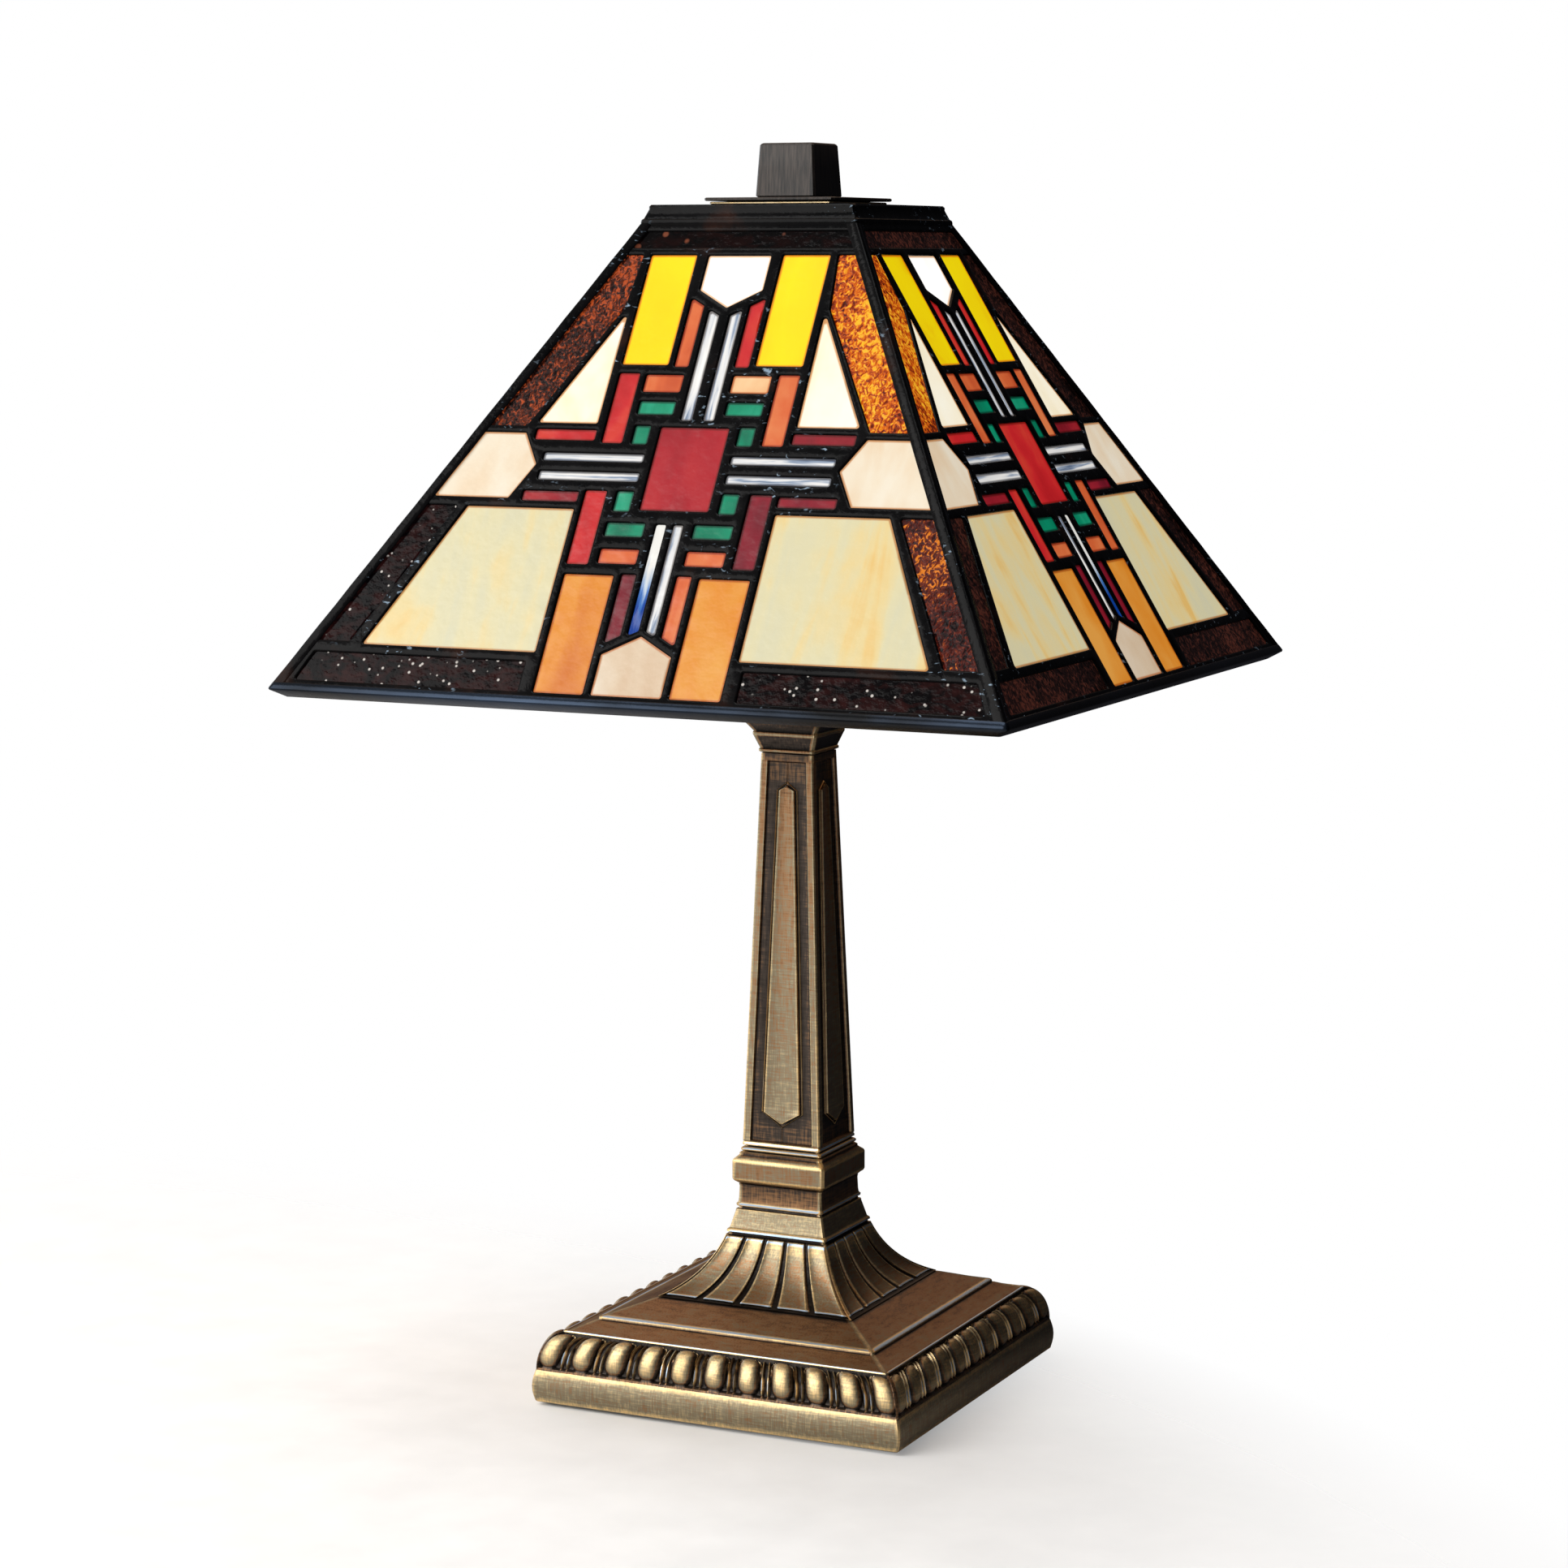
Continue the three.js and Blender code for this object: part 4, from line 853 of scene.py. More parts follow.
# name: (corners on the right, glass on the left, glass on the right)
SIDE_PANES = {
    "bottom_strip": ([(45, 5.3), (142, 5.3), (136.4, 17.5), (45, 17.5)], "seeded", "seeded"),
    "lower_field": ([(42, 21.5), (117, 21.5), (88, 81.5), (42, 81.5)], "field", "field"),
    "lower_hip": ([(122.6, 22.4), (137.8, 22.4), (107.3, 81.5), (92.4, 81.5)], "seeded", "wine_ripple"),
    "block_pane": (block(17.8, 38.5, 5.3, 54.3), "amber", "amber"),
    "lower_rail": ([(8.5, 29.8), (14.5, 26.5), (14.5, 55), (8.5, 55)], "maroon", "orange"),
    "lower_tall": ([(1.6, 32), (5.6, 30), (5.6, 76), (1.6, 76)], "cobalt", "silver"),
    "lower_small": (block(10, 26, 59.2, 65.3), "orange", "orange"),
    "lower_cross": (block(10.3, 26.3, 70.5, 76.3), "green", "green"),
    "lower_peg": (block(18.5, 25.5, 81, 89.5), "green", "green"),
    "lower_bar": (block(30, 39, 58.5, 89.5), "scarlet", "maroon"),
    "lower_dash": (block(41.8, 65.5, 84.5, 88.8), "ruby", "maroon"),
    "lower_white": (block(18.3, 61, 93.6, 97.3), "silver_level", "silver_level"),
    "upper_white": (block(18.3, 61, 101.8, 105.2), "silver_level", "silver_level"),
    "arrow": ([(71.5, 85.4), (104.2, 85.4), (89.6, 113.5), (71.6, 113.5), (63.5, 100)], "arrow", "arrow"),
    "upper_dash": (block(41.3, 67, 110.7, 115.2), "scarlet", "ruby"),
    "upper_peg": (block(18.7, 25.2, 109.5, 117.5), "green", "green"),
    "upper_bar": (block(29.3, 37.9, 109.8, 140), "scarlet", "orange"),
    "upper_cross": (block(10.9, 26, 122.3, 128), "green", "green"),
    "upper_small": (block(10.5, 26.3, 132, 139.5), "orange", "apricot"),
    "upper_tall": ([(2.4, 120), (6.9, 120), (6.9, 168), (2.4, 165.4)], "silver", "silver"),
    "upper_rail": ([(9.8, 143), (15.6, 143), (15.6, 173), (9.8, 169.6)], "orange", "scarlet"),
    "upper_block": (block(18.4, 38, 143.7, 192), "yellow", "yellow"),
    "upper_field": ([(41.9, 118), (67.5, 118), (41.6, 167)], "cream", "cream"),
    "upper_hip": (
        [(72, 116.5), (88.9, 116.5), (50, 192), (41.5, 192), (43.7, 168)],
        "umber_ripple",
        "amber_ripple",
    ),
}

# Where a side's glass differs from the front's: {side: {glass: its panes}}
SIDE_GLASS = {
    "right": {
        "scarlet": ["upper_rail left", "centre"],
        "orange": ["upper_bar left", "upper_small right", "lower_bar right"],
        "maroon": ["lower_rail right"],
        "silver": ["lower_tall left"],
        "cobalt": ["lower_tall right"],
        "amber_ripple": ["upper_hip left"],
        "bark_ripple": [
            "upper_hip right",
            "lower_hip left",
            "lower_hip right",
            "bottom_strip left",
            "bottom_strip right",
            "top_strip",
        ],
    },
    "back": {
        "apricot": ["upper_small left"],
        "ruby": ["lower_bar right"],
        "amber_ripple": ["upper_hip left"],
    },
    "left": {
        "scarlet": ["upper_rail left", "upper_bar right", "centre"],
        "umber_ripple": ["upper_hip right"],
    },
}

SIDES = ["front", "right", "back", "left"]
PANE_ROUND = 0.8
CORNER_STEPS = 3
OUTLINE_SPACING = 6.0
RING_SPACING = 3
GRID_SPACING = 4.5
MERGE = 1e-4
GLASS_FRONT = -1.6  # depths are measured inwards from the shade's outermost surface
GLASS_BACK = -5.2


def mirrored(corners):
    return [(-across, up) for across, up in reversed(corners)]


def face_panes(side):
    """(corners, glass) of every pane of a face."""
    changed = {pane: glass for glass, panes in SIDE_GLASS.get(side, {}).items() for pane in panes}
    panes = [(corners, changed.get(name, glass)) for name, (corners, glass) in MIDDLE_PANES.items()]
    for name, (corners, left, right) in SIDE_PANES.items():
        panes.append((corners, changed.get(name + " right", right)))
        panes.append((mirrored(corners), changed.get(name + " left", left)))
    return panes


def edge_normals(corners):
    normals = []
    for i, corner in enumerate(corners):
        along = Vector(corners[(i + 1) % len(corners)]) - Vector(corner)
        normals.append(Vector((along.y, -along.x)).normalized())
    return normals


def grown(corners, distance):
    """The corners of a convex outline moved out by a distance, or in by a negative one."""
    normals = edge_normals(corners)
    moved = []
    for i, corner in enumerate(corners):
        before, after = normals[i - 1], normals[i]
        bisector = before + after
        moved.append(Vector(corner) + bisector * (2 * distance / bisector.length_squared))
    return moved


def rounded(corners, distance):
    """A convex outline grown by a distance, with round corners and points along its sides."""
    centres = grown(corners, -PANE_ROUND)
    normals = edge_normals(corners)
    radius = PANE_ROUND + distance
    outline = []
    for i, centre in enumerate(centres):
        before, after = normals[i - 1], normals[i]
        turn = before.angle_signed(after)
        for step in range(CORNER_STEPS + 1):
            angle = math.atan2(before.y, before.x) - turn * step / CORNER_STEPS
            outline.append(centre + radius * Vector((math.cos(angle), math.sin(angle))))
        following = centres[(i + 1) % len(centres)]
        steps = max(1, round((following - centre).length / OUTLINE_SPACING))
        outline.extend(centre.lerp(following, step / steps) + after * radius for step in range(1, steps))
    return outline


def inside(point, corners):
    normals = edge_normals(corners)
    return all((point - Vector(corner)).dot(normal) < 0 for corner, normal in zip(corners, normals))


def on_face(side, across, up, depth):
    """A point of a face's own plane, placed on the shade."""
    x = across
    y = -SHADE_BOTTOM_HALF + SLOPE_COS * up - SLOPE_SIN * depth
    z = SHADE_BOTTOM + SLOPE_SIN * up + SLOPE_COS * depth
    for _ in range(SIDES.index(side)):
        x, y = -y, x
    return x, y, z


def pane_sheet(corners):
    """Points, rim shares and triangles of one pane's front: a rim, a ring just inside it, and a grid."""
    points = rounded(corners, 0.5)
    rim = len(points)
    ring = grown(corners, -1.5)
    for i, corner in enumerate(ring):
        following = ring[(i + 1) % len(ring)]
        steps = max(1, round((following - corner).length / RING_SPACING))
        points.extend(corner.lerp(following, step / steps) for step in range(steps))
    inner = grown(corners, -3.0)
    if all(inside(point, corners) for point in inner):
        left, low = (min(corner[axis] for corner in inner) for axis in (0, 1))
        right, high = (max(corner[axis] for corner in inner) for axis in (0, 1))
        for i in range(int((right - left) / GRID_SPACING) + 1):
            for j in range(int((high - low) / GRID_SPACING) + 1):
                point = Vector((left + (i + 0.25 * (j % 3)) * GRID_SPACING, low + j * GRID_SPACING))
                if inside(point, inner):
                    points.append(point)
    _, _, faces, origins, _, _ = delaunay_2d_cdt(points, [], [], 0, MERGE)
    triangles = [[origins[i][0] for i in face] for face in faces]
    shares = [1.0] * rim + [0.0] * (len(points) - rim)
    return points, shares, triangles, rim


def wave(across, up, seed):
    return 0.13 * math.sin(across * 0.62 + seed * 1.7) * math.sin(up * 0.51 + seed * 2.3)


def make_panes(side):
    shape = Shape()
    fields = []
    indices = []
    panes = face_panes(side)
    used = sorted({glass for _, glass in panes})
    for number, (corners, glass) in enumerate(panes):
        seed = 61 * SIDES.index(side) + number
        points, shares, triangles, rim = pane_sheet(corners)
        count = len(points)
        placed = []
        for depth, sign in ((GLASS_FRONT, 1), (GLASS_BACK, -1)):
            for point, share in zip(points, shares):
                lift = 0 if share else wave(point.x, point.y, seed) * sign
                placed.append(on_face(side, point.x, point.y, depth + lift))
                fields.append((point.x, point.y, seed * 3.7))
        faces = triangles + [[count + i for i in reversed(triangle)] for triangle in triangles]
        faces += [[i, count + i, count + (i + 1) % rim, (i + 1) % rim] for i in range(rim)]
        shape.add(placed, shares * 2, faces)
        indices += [used.index(glass)] * len(faces)
    materials = [GLASS[glass] for glass in used]
    options = {"indices": indices, "fields": {"pane": fields}, "sharp": 50, "weld": False}
    piece = make_piece("panes_" + side, "shade", shape, materials, "art_glass", **options)
    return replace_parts(piece, "glass_" + side)


# ---- Leading ----

# The bead beside a pane: (distance from the opening, height above the glass's surface)
BEAD = [(0.0, 0.05), (0.1, 0.5), (0.4, 0.8), (0.9, 0.92)]


def lead_outlines():
    outlines = [corners for corners, _ in MIDDLE_PANES.values()]
    for corners, _, _ in SIDE_PANES.values():
        outlines += [corners, mirrored(corners)]
    return outlines


def bead_rings(corners, start):
    """(rings, faces) of the rounded bead round one pane, when its first point has the index start."""
    rings = [rounded(corners, distance) for distance, _ in BEAD]
    count = len(rings[0])
    faces = []
    for row in range(len(BEAD) - 1):
        for i in range(count):
            a = start + row * count + i
            b = start + row * count + (i + 1) % count
            faces.append([a, a + count, b + count, b])
    return rings, faces


def lattice_sheet():
    """(points, rise, faces) of one face's leading: a rounded bead round every pane, and the flat between."""
    points, rise, faces = [], [], []
    bottom, top = 2.2, SLOPE_LENGTH - 0.2
    wide, narrow = (SHADE_BOTTOM_HALF - SLOPE_COS * up - 0.7 for up in (bottom, top))
    outer = [(-wide, bottom), (wide, bottom), (narrow, top), (-narrow, top)]
    flat_points = [Vector(corner) for corner in outer]
    owners = [None] * 4
    edges = [(i, (i + 1) % 4) for i in range(4)]
    borders = []
    for corners in lead_outlines():
        rings, ring_faces = bead_rings(corners, len(points))
        faces += ring_faces
        for ring, (_, height) in zip(rings, BEAD):
            points += ring
            rise += [height] * len(ring)
        border = rings[-1]
        count = len(border)
        start = len(flat_points)
        borders.append(border)
        flat_points += border
        owners += range(len(points) - count, len(points))
        edges += [(start + i, start + (i + 1) % count) for i in range(count)]
    flat, _, triangles, origins, _, _ = delaunay_2d_cdt(flat_points, edges, [], 0, MERGE)
    index = []
    for place, origin in zip(flat, origins):
        owner = owners[origin[0]] if origin else None
        if owner is None:
            owner = len(points)
            points.append(Vector(place))
            rise.append(BEAD[-1][1])
        index.append(owner)
    for triangle in triangles:
        centre = sum((flat[i] for i in triangle), Vector((0, 0))) / len(triangle)
        if not any(inside(centre, border) for border in borders):
            faces.append([index[i] for i in triangle])
    return points, rise, faces


def make_leading(side, sheet):
    points, rise, faces = sheet
    tones = [0.5] * len(points)
    shape = Shape()
    outer = [on_face(side, point.x, point.y, GLASS_FRONT + up) for point, up in zip(points, rise)]
    inner = [on_face(side, point.x, point.y, GLASS_BACK - 0.8 * up) for point, up in zip(points, rise)]
    shape.add(outer, tones, faces)
    shape.add(inner, tones, [face[::-1] for face in faces])
    piece = make_piece("came_" + side, "shade", shape, [lead], "lead_came", sharp=55, weld=False)
    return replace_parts(piece, "lead_" + side)


# ---- Shade edges: rim, hips, crown, plates ----


def sloped(up, depth):
    """(half, z) at a distance up the slope and a depth in from it."""
    half = SHADE_BOTTOM_HALF - up * SLOPE_COS + depth * SLOPE_SIN
    return half, SHADE_BOTTOM + up * SLOPE_SIN + depth * SLOPE_COS


def make_rim():
    path = [(0.5, -6.6), (0, -6.2), (0, -0.6), (0.25, -0.2), (0.7, 0)]
    path += [(2.9, 0), (3.4, -0.3), (3.4, -1.2), (3.4, -6.2)]
    ring = square_ring([(*sloped(up, depth), 0.5) for up, depth in path], corner=0.7)
    piece = make_piece("rim_channel", "shade", ring, [rim_black], "lead_came", sharp=45)
    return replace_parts(piece, "shade_rim")


def hip_section():
    """(x, y) round a hip's strip, from the shade's corner: two flanks and a bead along the crest."""
    crest = 0.95
    flank = [(-5.0, -1.3), (-5.2, -0.7), (-4.6, -0.25), (-1.6, -0.12)]
    section = [*flank]
    for i in range(5):
        angle = math.radians(90 - 22.5 * i)
        section.append((crest * (math.cos(angle) - 1), crest * (math.sin(angle) - 1)))
    section += [(x, y) for y, x in reversed(flank)]
    return [(-1.5, -1.5), *reversed(section)]


def make_hip(corner, quarter):
    """A bent strip over the joint between two faces, with small lumps along it."""
    section = hip_section()
    slope = (SHADE_BOTTOM_HALF - SHADE_TOP_HALF) / SHADE_RISE
    steps = 24
    loops = []
    for step in range(steps + 1):
        height = mix(2.6, SHADE_RISE - 0.2, step / steps)
        middle = SHADE_BOTTOM_HALF - slope * height - 0.1 + 0.06 * math.sin(step * 2.3 + quarter)
        loops.append([(middle + x, middle + y, SHADE_BOTTOM + height, 0.5) for x, y in section])
    shape = Shape().loft(loops)
    shape.cap(loops[0], up=False).cap(loops[-1])
    for _ in range(quarter):
        shape.points = [(-y, x, z) for x, y, z in shape.points]
    piece = make_piece("hip_strip_" + corner, "shade", shape, [lead], "lead_came", sharp=45)
    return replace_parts(piece, "hip_" + corner)


def make_crown():
    half, low, high = crown_high.x, crown_low.z, crown_high.z
    lower = [(-4.8, -2.4), (-0.4, -1.0), (0, -0.3), (0, 0.5), (-0.2, 1.3), (-0.9, 1.8)]
    upper = [(-2.4, -1.8), (-2.4, -0.7), (-3.0, 0), (-4.3, 0), (-4.9, -0.5), (-4.9, -2.1)]
    profile = [(half + out, low + up, 0.5) for out, up in lower]
    profile += [(half + out, high + up, 0.5) for out, up in upper]
    ring = square_ring(profile, corner=0.8)
    piece = make_piece("crown_channel", "shade", ring, [lead], "lead_came", sharp=40)
    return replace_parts(piece, "crown_band")


def make_plate(name, node, material, slot):
    low, high = span(node)
    hole = 3.5
    profile = [(hole, low.z, 0.3), (high.x - 0.4, low.z, 0.5), (high.x, low.z + 0.3, 0.9)]
    profile += [(high.x, high.z - 0.3, 0.9), (high.x - 0.4, high.z, 0.8), (hole, high.z, 0.3)]
    piece = make_piece(name, "shade", square_ring(profile, corner=1.2), [material], slot)
    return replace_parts(piece, node)


def make_finial():
    low, high = span("finial")
    bottom, top = high.x, high.x - 1.2
    hole, ceiling = 5.3, low.z + 13.6
    profile = [(hole, low.z), (bottom - 0.5, low.z), (bottom, low.z + 0.5)]
    profile += [((bottom + top) / 2, (low.z + high.z) / 2), (top, high.z - 1), (top - 0.35, high.z - 0.4)]
    profile.append((top - 1, high.z))
    loops = square_loft([(half, z, 0.4) for half, z in profile], corner=0.8)
    bore = square_loft([(hole, ceiling, 0.2), (hole, low.z, 0.2)])
    shape = Shape().loft(loops).cap(loops[-1])
    shape.loft(bore).cap(bore[0], up=False)
    piece = make_piece("finial_block", "finial", shape, [dark_bronze], "dark_bronze")
    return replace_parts(piece, "finial")


# ---- Harp, socket and bulb ----


def bezier(a, b, c, d, steps):
    points = []
    for i in range(steps):
        t = i / steps
        points.append(a * (1 - t) ** 3 + b * (3 * t * (1 - t) ** 2) + c * (3 * t * t * (1 - t)) + d * t**3)
    return points


def wire_loops(path, wire, sides=12):
    """Rings of a round wire along a path of (x, z) in the plane of the harp."""
    loops = []
    for i, point in enumerate(path):
        ahead = path[min(i + 1, len(path) - 1)] - path[max(i - 1, 0)]
        normal = Vector((ahead.y, -ahead.x)).normalized()
        ring = []
        for k in range(sides):
            angle = -2 * math.pi * k / sides
            out = normal * (wire * math.cos(angle))
            ring.append((point.x + out.x, wire * math.sin(angle), point.y + out.y, 0.5))
        loops.append(ring)
    return loops


def make_harp():
    low, high = span("harp")
    wire, eyelet, hole = 2, 8, 3.4
    leg = span("harp_saddle")[1].x - 0.8
    shoulder = low.z + 26
    top = high.z - wire
    widest = high.x - wire
    middle = (shoulder + top) / 2 - widest / 4
    rise, run = middle - shoulder, top - middle
    bulge = [(leg, shoulder), (leg, shoulder + rise * 0.35), (widest, middle - rise * 0.55), (widest, middle)]
    bow = [(widest, middle), (widest, middle + run * 0.52), (widest * 0.64, top), (eyelet / 2, top)]
    half = [Vector((leg, low.z))]
    half += bezier(*(Vector(point) for point in bulge), 14)
    half += bezier(*(Vector(point) for point in bow), 22)
    half.append(Vector((eyelet / 2, top)))
    loops = wire_loops(half + [Vector((-point.x, point.y)) for point in reversed(half)], wire)
    shape = Shape().loft(loops)
    shape.cap(loops[0], up=False).cap(loops[-1])
    ring = [(hole, -1.6), (eyelet - 0.6, -1.9), (eyelet, 0), (eyelet - 0.6, 1.9), (hole, 1.6), (hole, -1.6)]
    eye = turned([(radius, top + up) for radius, up in ring], 36)
    shape.add(eye.points, eye.tones, eye.faces)
    piece = make_piece("harp_bow", "stand", shape, [brass], "brass")
    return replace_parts(piece, "harp")


def make_sleeves():
    for side in ("left", "right"):
        low, high = span("harp_sleeve_" + side)
        middle = (low.x + high.x) / 2
        radius = (high.x - low.x) / 2
        bore = radius - 1
        bottom = [(bore, 0), (radius - 0.4, 0), (radius, 0.5), (radius, 3), (radius - 0.5, 3.6)]
        profile = [(out, low.z + up) for out, up in bottom]
        profile += [(out, high.z - up) for out, up in reversed(bottom)]
        shape = turned([*profile, profile[0]], 32)
        shape.points = [(x + middle, y, z) for x, y, z in shape.points]
        piece = make_piece("sleeve_" + side, "sleeve_" + side, shape, [brass], "brass")
        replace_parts(piece, "harp_sleeve_" + side)


def make_stud():
    low, high = span("harp_stud")
    shaft, groove, flange = 3.1, 2.65, 10
    seat = high.z - 19.5
    thread_start, thread_length = seat + 3, 15.5
    head = [(0, 0), (4.9, 0), (5.5, 0.6), (5.5, 1.4), (4.9, 2), (shaft, 2)]
    disc = [(shaft, 0), (flange - 0.6, 0), (flange, 0.6), (flange, 2.4), (flange - 0.6, 3), (shaft, 3)]
    profile = [(radius, low.z + up) for radius, up in head]
    profile += [(radius, seat + up) for radius, up in disc]
    threads = 13
    for i in range(threads):
        z = thread_start + thread_length * i / threads
        profile += [(groove, z + 0.3), (shaft, z + 0.9)]
    profile += [(2.5, high.z), (0, high.z)]
    piece = make_piece("threaded_stud", "stand", turned(profile, 24), [brass], "brass")
    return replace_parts(piece, "harp_stud")


def make_socket_cap():
    low, high = span("socket_cap")
    hub, rim, wall = 8.5, high.x, 1
    hub_top, rim_bottom = low.z + 4.5, high.z - 5.2
    dome = []
    for i in range(11):
        angle = i / 10 * math.pi / 2
        dome.append((mix(hub, rim, math.sin(angle)), mix(hub_top, rim_bottom, 1 - math.cos(angle))))
    profile = [(PIPE_HOLE, low.z), (hub - 0.5, low.z), (hub, low.z + 0.5), *dome]
    profile += [(rim, high.z - 1), (rim, high.z - 0.4), (rim - 0.4, high.z), (rim - wall, high.z)]
    profile += [(radius - wall, z + wall * 0.6) for radius, z in reversed(dome)]
    profile += [(PIPE_HOLE, hub_top + wall), (PIPE_HOLE, low.z)]
    piece = make_piece("cap_dome", "stand", turned(profile), [brass], "brass")
    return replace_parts(piece, "socket_cap")


def make_socket_shell():
    low, high = span("socket_shell")
    radius = high.x
    inner, pinch = radius - 1, radius - 0.5
    lower = [(inner, 0), (radius, 0), (radius, 16), (pinch, 16.8), (pinch, 17.6), (radius, 18.4)]
    upper = [(radius, 5), (pinch, 4.3), (radius, 3.4), (radius, 0.5), (pinch, 0), (inner, 0)]
    profile = [(out, low.z + up) for out, up in lower]
    profile += [(out, high.z - down) for out, down in upper]
    profile.append((inner, low.z))
    piece = make_piece("shell_barrel", "stand", turned(profile), [brass], "brass")
    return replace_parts(piece, "socket_shell")


def make_knob():
    low, high = span("switch_knob")
    axis = (low.z + high.z) / 2
    radius = (high.z - low.z) / 2
    length = high.y - low.y
    bore, ridges = 1.9, 20

    def ridge(angle, height):
        """The share of the radius that is left by the ridges, which stop short of both ends."""
        if height <= 0.3 or height >= length - 0.6:
            return 1
        return 1 - 0.05 * (0.5 + 0.5 * math.cos(ridges * angle))

    profile = [(bore, 0), (radius - 0.8, 0), (radius, 0.7), (radius, length - 1.2)]
    profile += [(radius - 0.9, length - 0.2), (radius - 2, length), (bore, length), (bore, 0)]
    shape = turned(profile, 6 * ridges, ridge)
    shape.points = [(x, high.y - z, axis + y) for x, y, z in shape.points]
    piece = make_piece("ridged_knob", "switch_knob", shape, [black_plastic], "black_plastic", sharp=60)
    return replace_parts(piece, "switch_knob")


def bulb_glass():
    material, tree, shader = new_material("bulb_glass")
    frost = noise(tree, object_coordinates(tree), 90, 3)
    color = ramp(tree, frost, [(0.35, rgb(255, 226, 170)), (0.65, rgb(255, 240, 206))])
    feed(tree, shader, {"Base Color": color, "Emission Color": color})
    feed(tree, shader, {"Emission Strength": 7, "Roughness": 0.4})
    return material


def make_envelope():
    low, high = span("bulb_glass")
    radius, neck, wall = high.x, 14.5, 1
    centre = high.z - radius
    shoulder = -0.55
    steps = 20
    outside = [(neck, low.z), (neck, low.z + 7)]
    for i in range(steps):
        angle = mix(shoulder, math.pi / 2, i / steps)
        outside.append((radius * math.cos(angle), centre + radius * math.sin(angle)))
    within = [(max(0.0, out - wall), z - wall if out < wall else z) for out, z in reversed(outside)]
    profile = [*outside, (0.0, high.z), (0.0, high.z - wall), *within, (neck, low.z)]
    piece = make_piece("envelope", "bulb", turned(profile), [bulb_glass()], "bulb_glass")
    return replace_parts(piece, "bulb_glass")


def make_screw_base():
    low, high = span("bulb_base")
    radius = high.x
    inner = radius - 0.8
    profile = [(inner, low.z), (radius - 0.5, low.z)]
    for i in range(6):
        z = low.z + 1.5 + i * 2.8
        profile += [(radius - 0.6, z), (radius, z + 0.9), (radius, z + 1.4), (radius - 0.6, z + 2.3)]
    profile += [(radius - 0.3, high.z), (inner, high.z), (inner, low.z)]
    piece = make_piece("screw_base", "bulb", turned(profile), [tin], "tin")
    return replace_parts(piece, "bulb_base")


# ---- Stage ----


def make_floor():
    """A pale sheet in front of the lamp that fades out behind it."""
    mesh = bpy.data.meshes.new("floor")
    disc = bmesh.new()
    bmesh.ops.create_circle(disc, cap_ends=True, segments=96, radius=1.6)
    disc.to_mesh(mesh)
    disc.free()
    material, tree, shader = new_material("floor")
    place = object_coordinates(tree)
    paper = ramp(tree, noise(tree, place, 30, 3), [(0.3, rgb(240, 240, 240)), (0.7, rgb(247, 247, 247))])
    feed(tree, shader, {"Base Color": paper, "Roughness": 0.9})
    distance = add_node(tree, "ShaderNodeVectorMath", {0: place}, operation="LENGTH").outputs["Value"]
    fade = map_range(tree, distance, 0.74, 0.98, 0.0, 1.0)
    clear = add_node(tree, "ShaderNodeBsdfTransparent").outputs[0]
    both = add_node(tree, "ShaderNodeMixShader", {0: fade, 1: shader.outputs[0], 2: clear})
    feed(tree, tree.nodes["Material Output"], {"Surface": both.outputs[0]})
    mesh.materials.append(material)
    floor = bpy.data.objects.new("floor", mesh)
    floor.location = (-0.35, -0.75, -0.0004)
    scene.collection.objects.link(floor)


def towards(tree, direction, aim):
    """The cosine between a direction and an aim."""
    made = add_node(tree, "ShaderNodeVectorMath", {0: direction, 1: aim}, operation="DOT_PRODUCT")
    return made.outputs["Value"]


def make_world():
    """White to the camera. To the lamp, a room bright in front on the left, warm above and dim behind."""
    world = bpy.data.worlds.new("studio")
    world.use_nodes = True
    scene.world = world
    tree = world.node_tree
    direction = add_node(tree, "ShaderNodeTexCoord").outputs["Generated"]
    front = map_range(tree, towards(tree, direction, (-0.8, -0.56, 0.2)), -1.0, 1.0, 0.0, 1.0)
    warm = map_range(tree, towards(tree, direction, (-0.3, 0.56, 0.77)), 0.82, 0.97, 0.0, 1.0)
    stops = [(0.0, (0.02, 0.02, 0.024, 1)), (0.5, (0.03, 0.03, 0.035, 1))]
    stops += [(0.78, (0.5, 0.5, 0.5, 1)), (1.0, (1, 0.99, 0.96, 1))]
    color = blend_color(tree, warm, ramp(tree, front, stops), (0.9, 0.62, 0.44, 1))
    room = add_node(tree, "ShaderNodeBackground", {0: color, 1: 1.0}).outputs[0]
    paper = add_node(tree, "ShaderNodeBackground", {0: (1, 1, 1, 1), 1: 1.0}).outputs[0]
    seen = add_node(tree, "ShaderNodeLightPath").outputs["Is Camera Ray"]
    both = add_node(tree, "ShaderNodeMixShader", {0: seen, 1: room, 2: paper})
    output = next(item for item in tree.nodes if item.type == "OUTPUT_WORLD")
    feed(tree, output, {"Surface": both.outputs[0]})


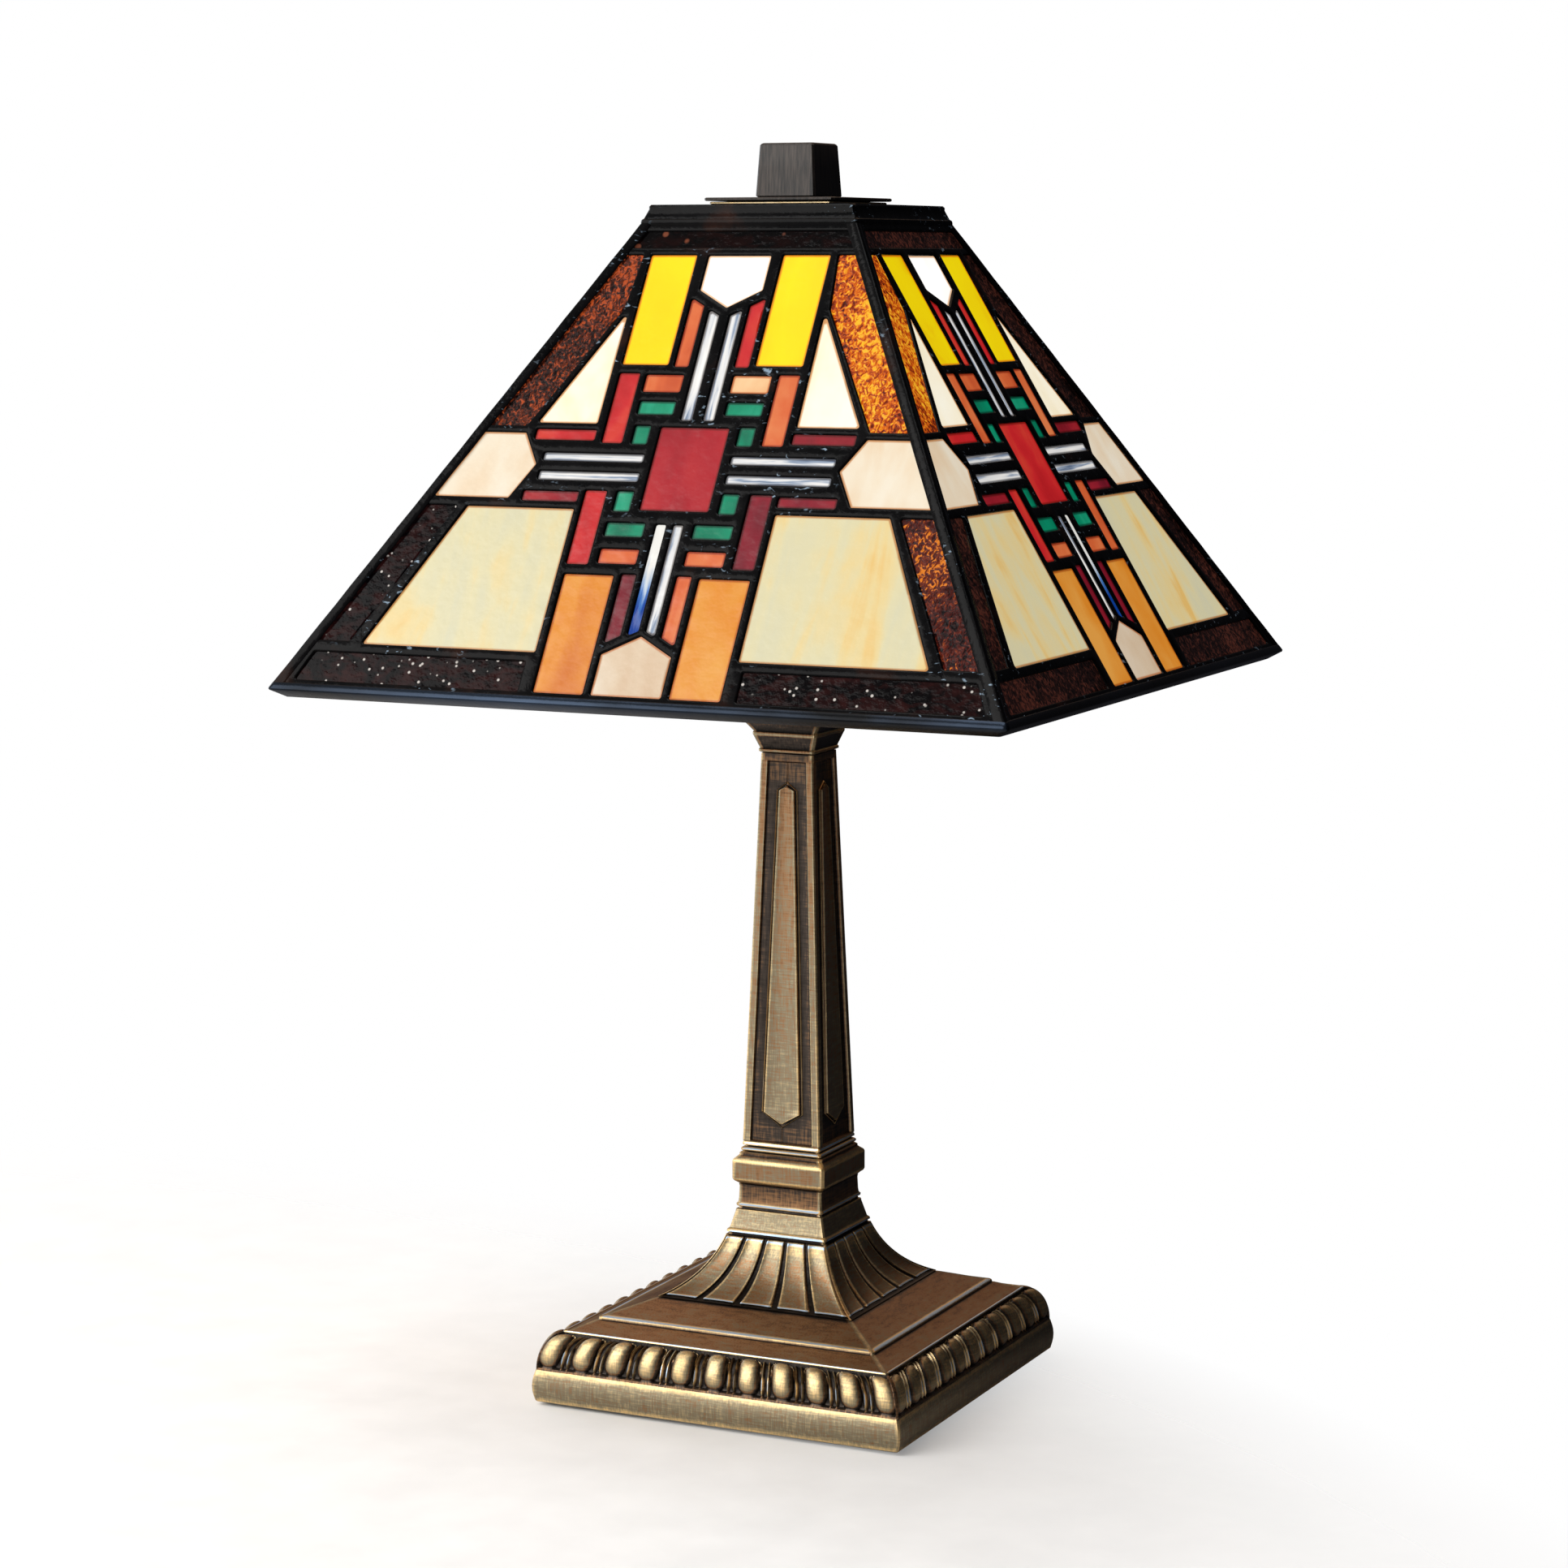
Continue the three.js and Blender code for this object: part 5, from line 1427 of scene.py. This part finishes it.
def make_light(name, place, aim, size, power, color=(1, 1, 1)):
    light = bpy.data.lights.new(name, "AREA")
    light.shape = "RECTANGLE"
    light.size, light.size_y = size
    light.energy = power
    light.color = color
    holder = bpy.data.objects.new(name, light)
    holder.location = place
    holder.rotation_euler = (Vector(aim) - Vector(place)).to_track_quat("-Z", "Y").to_euler()
    scene.collection.objects.link(holder)


# ---- The lamp ----

make_floor()
make_world()
make_light("key", (-1.2, -1.7, 1.2), (0, 0, 0.2), (1.8, 1.8), 46, (1.0, 0.99, 0.97))
make_light("top", (-0.2, -0.3, 1.9), (0, 0, 0.2), (1.0, 1.0), 12)
make_light("side", (-1.5, 0.5, 0.5), (0, 0, 0.25), (0.6, 1.4), 7, (0.86, 0.93, 1.0))

make_foot()
make_pedestal()
make_collar()
make_column()
make_capital()
leading = lattice_sheet()
for side in SIDES:
    make_panes(side)
    make_leading(side, leading)
make_rim()
for quarter, corner in enumerate(["back_right", "back_left", "front_left", "front_right"]):
    make_hip(corner, quarter)
make_crown()
make_plate("plate_lower", "cap_plate_lower", aged, "brass")
make_plate("plate_upper", "cap_plate_upper", dark_bronze, "dark_bronze")
make_finial()
make_harp()
make_sleeves()
make_stud()
make_socket_cap()
make_socket_shell()
make_knob()
make_envelope()
make_screw_base()

# The CAD nodes that keep their shape: (material, nodes)
CAD_FINISHES = [
    (felt, ["felt_pad"]),
    (iron, ["base_weight"]),
    (steel, ["bottom_washer", "bottom_nut", "lamp_pipe"]),
    (brass, ["capital_washer", "harp_saddle", "saddle_nut"]),
    (card, ["socket_sleeve"]),
    (phenolic, ["switch_block"]),
    (brass, ["screw_shell", "socket_contact", "switch_shaft"]),
    (tin, ["bulb_contact"]),
    (black_plastic, ["cord_bushing", "bulb_button"]),
    (dark_bronze, ["top_plate"]),
    (brass, ["finial_insert"]),
]
for material, nodes in CAD_FINISHES:
    for node in nodes:
        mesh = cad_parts[node].data
        mesh.materials.clear()
        mesh.materials.append(material)

bpy.context.view_layer.update()
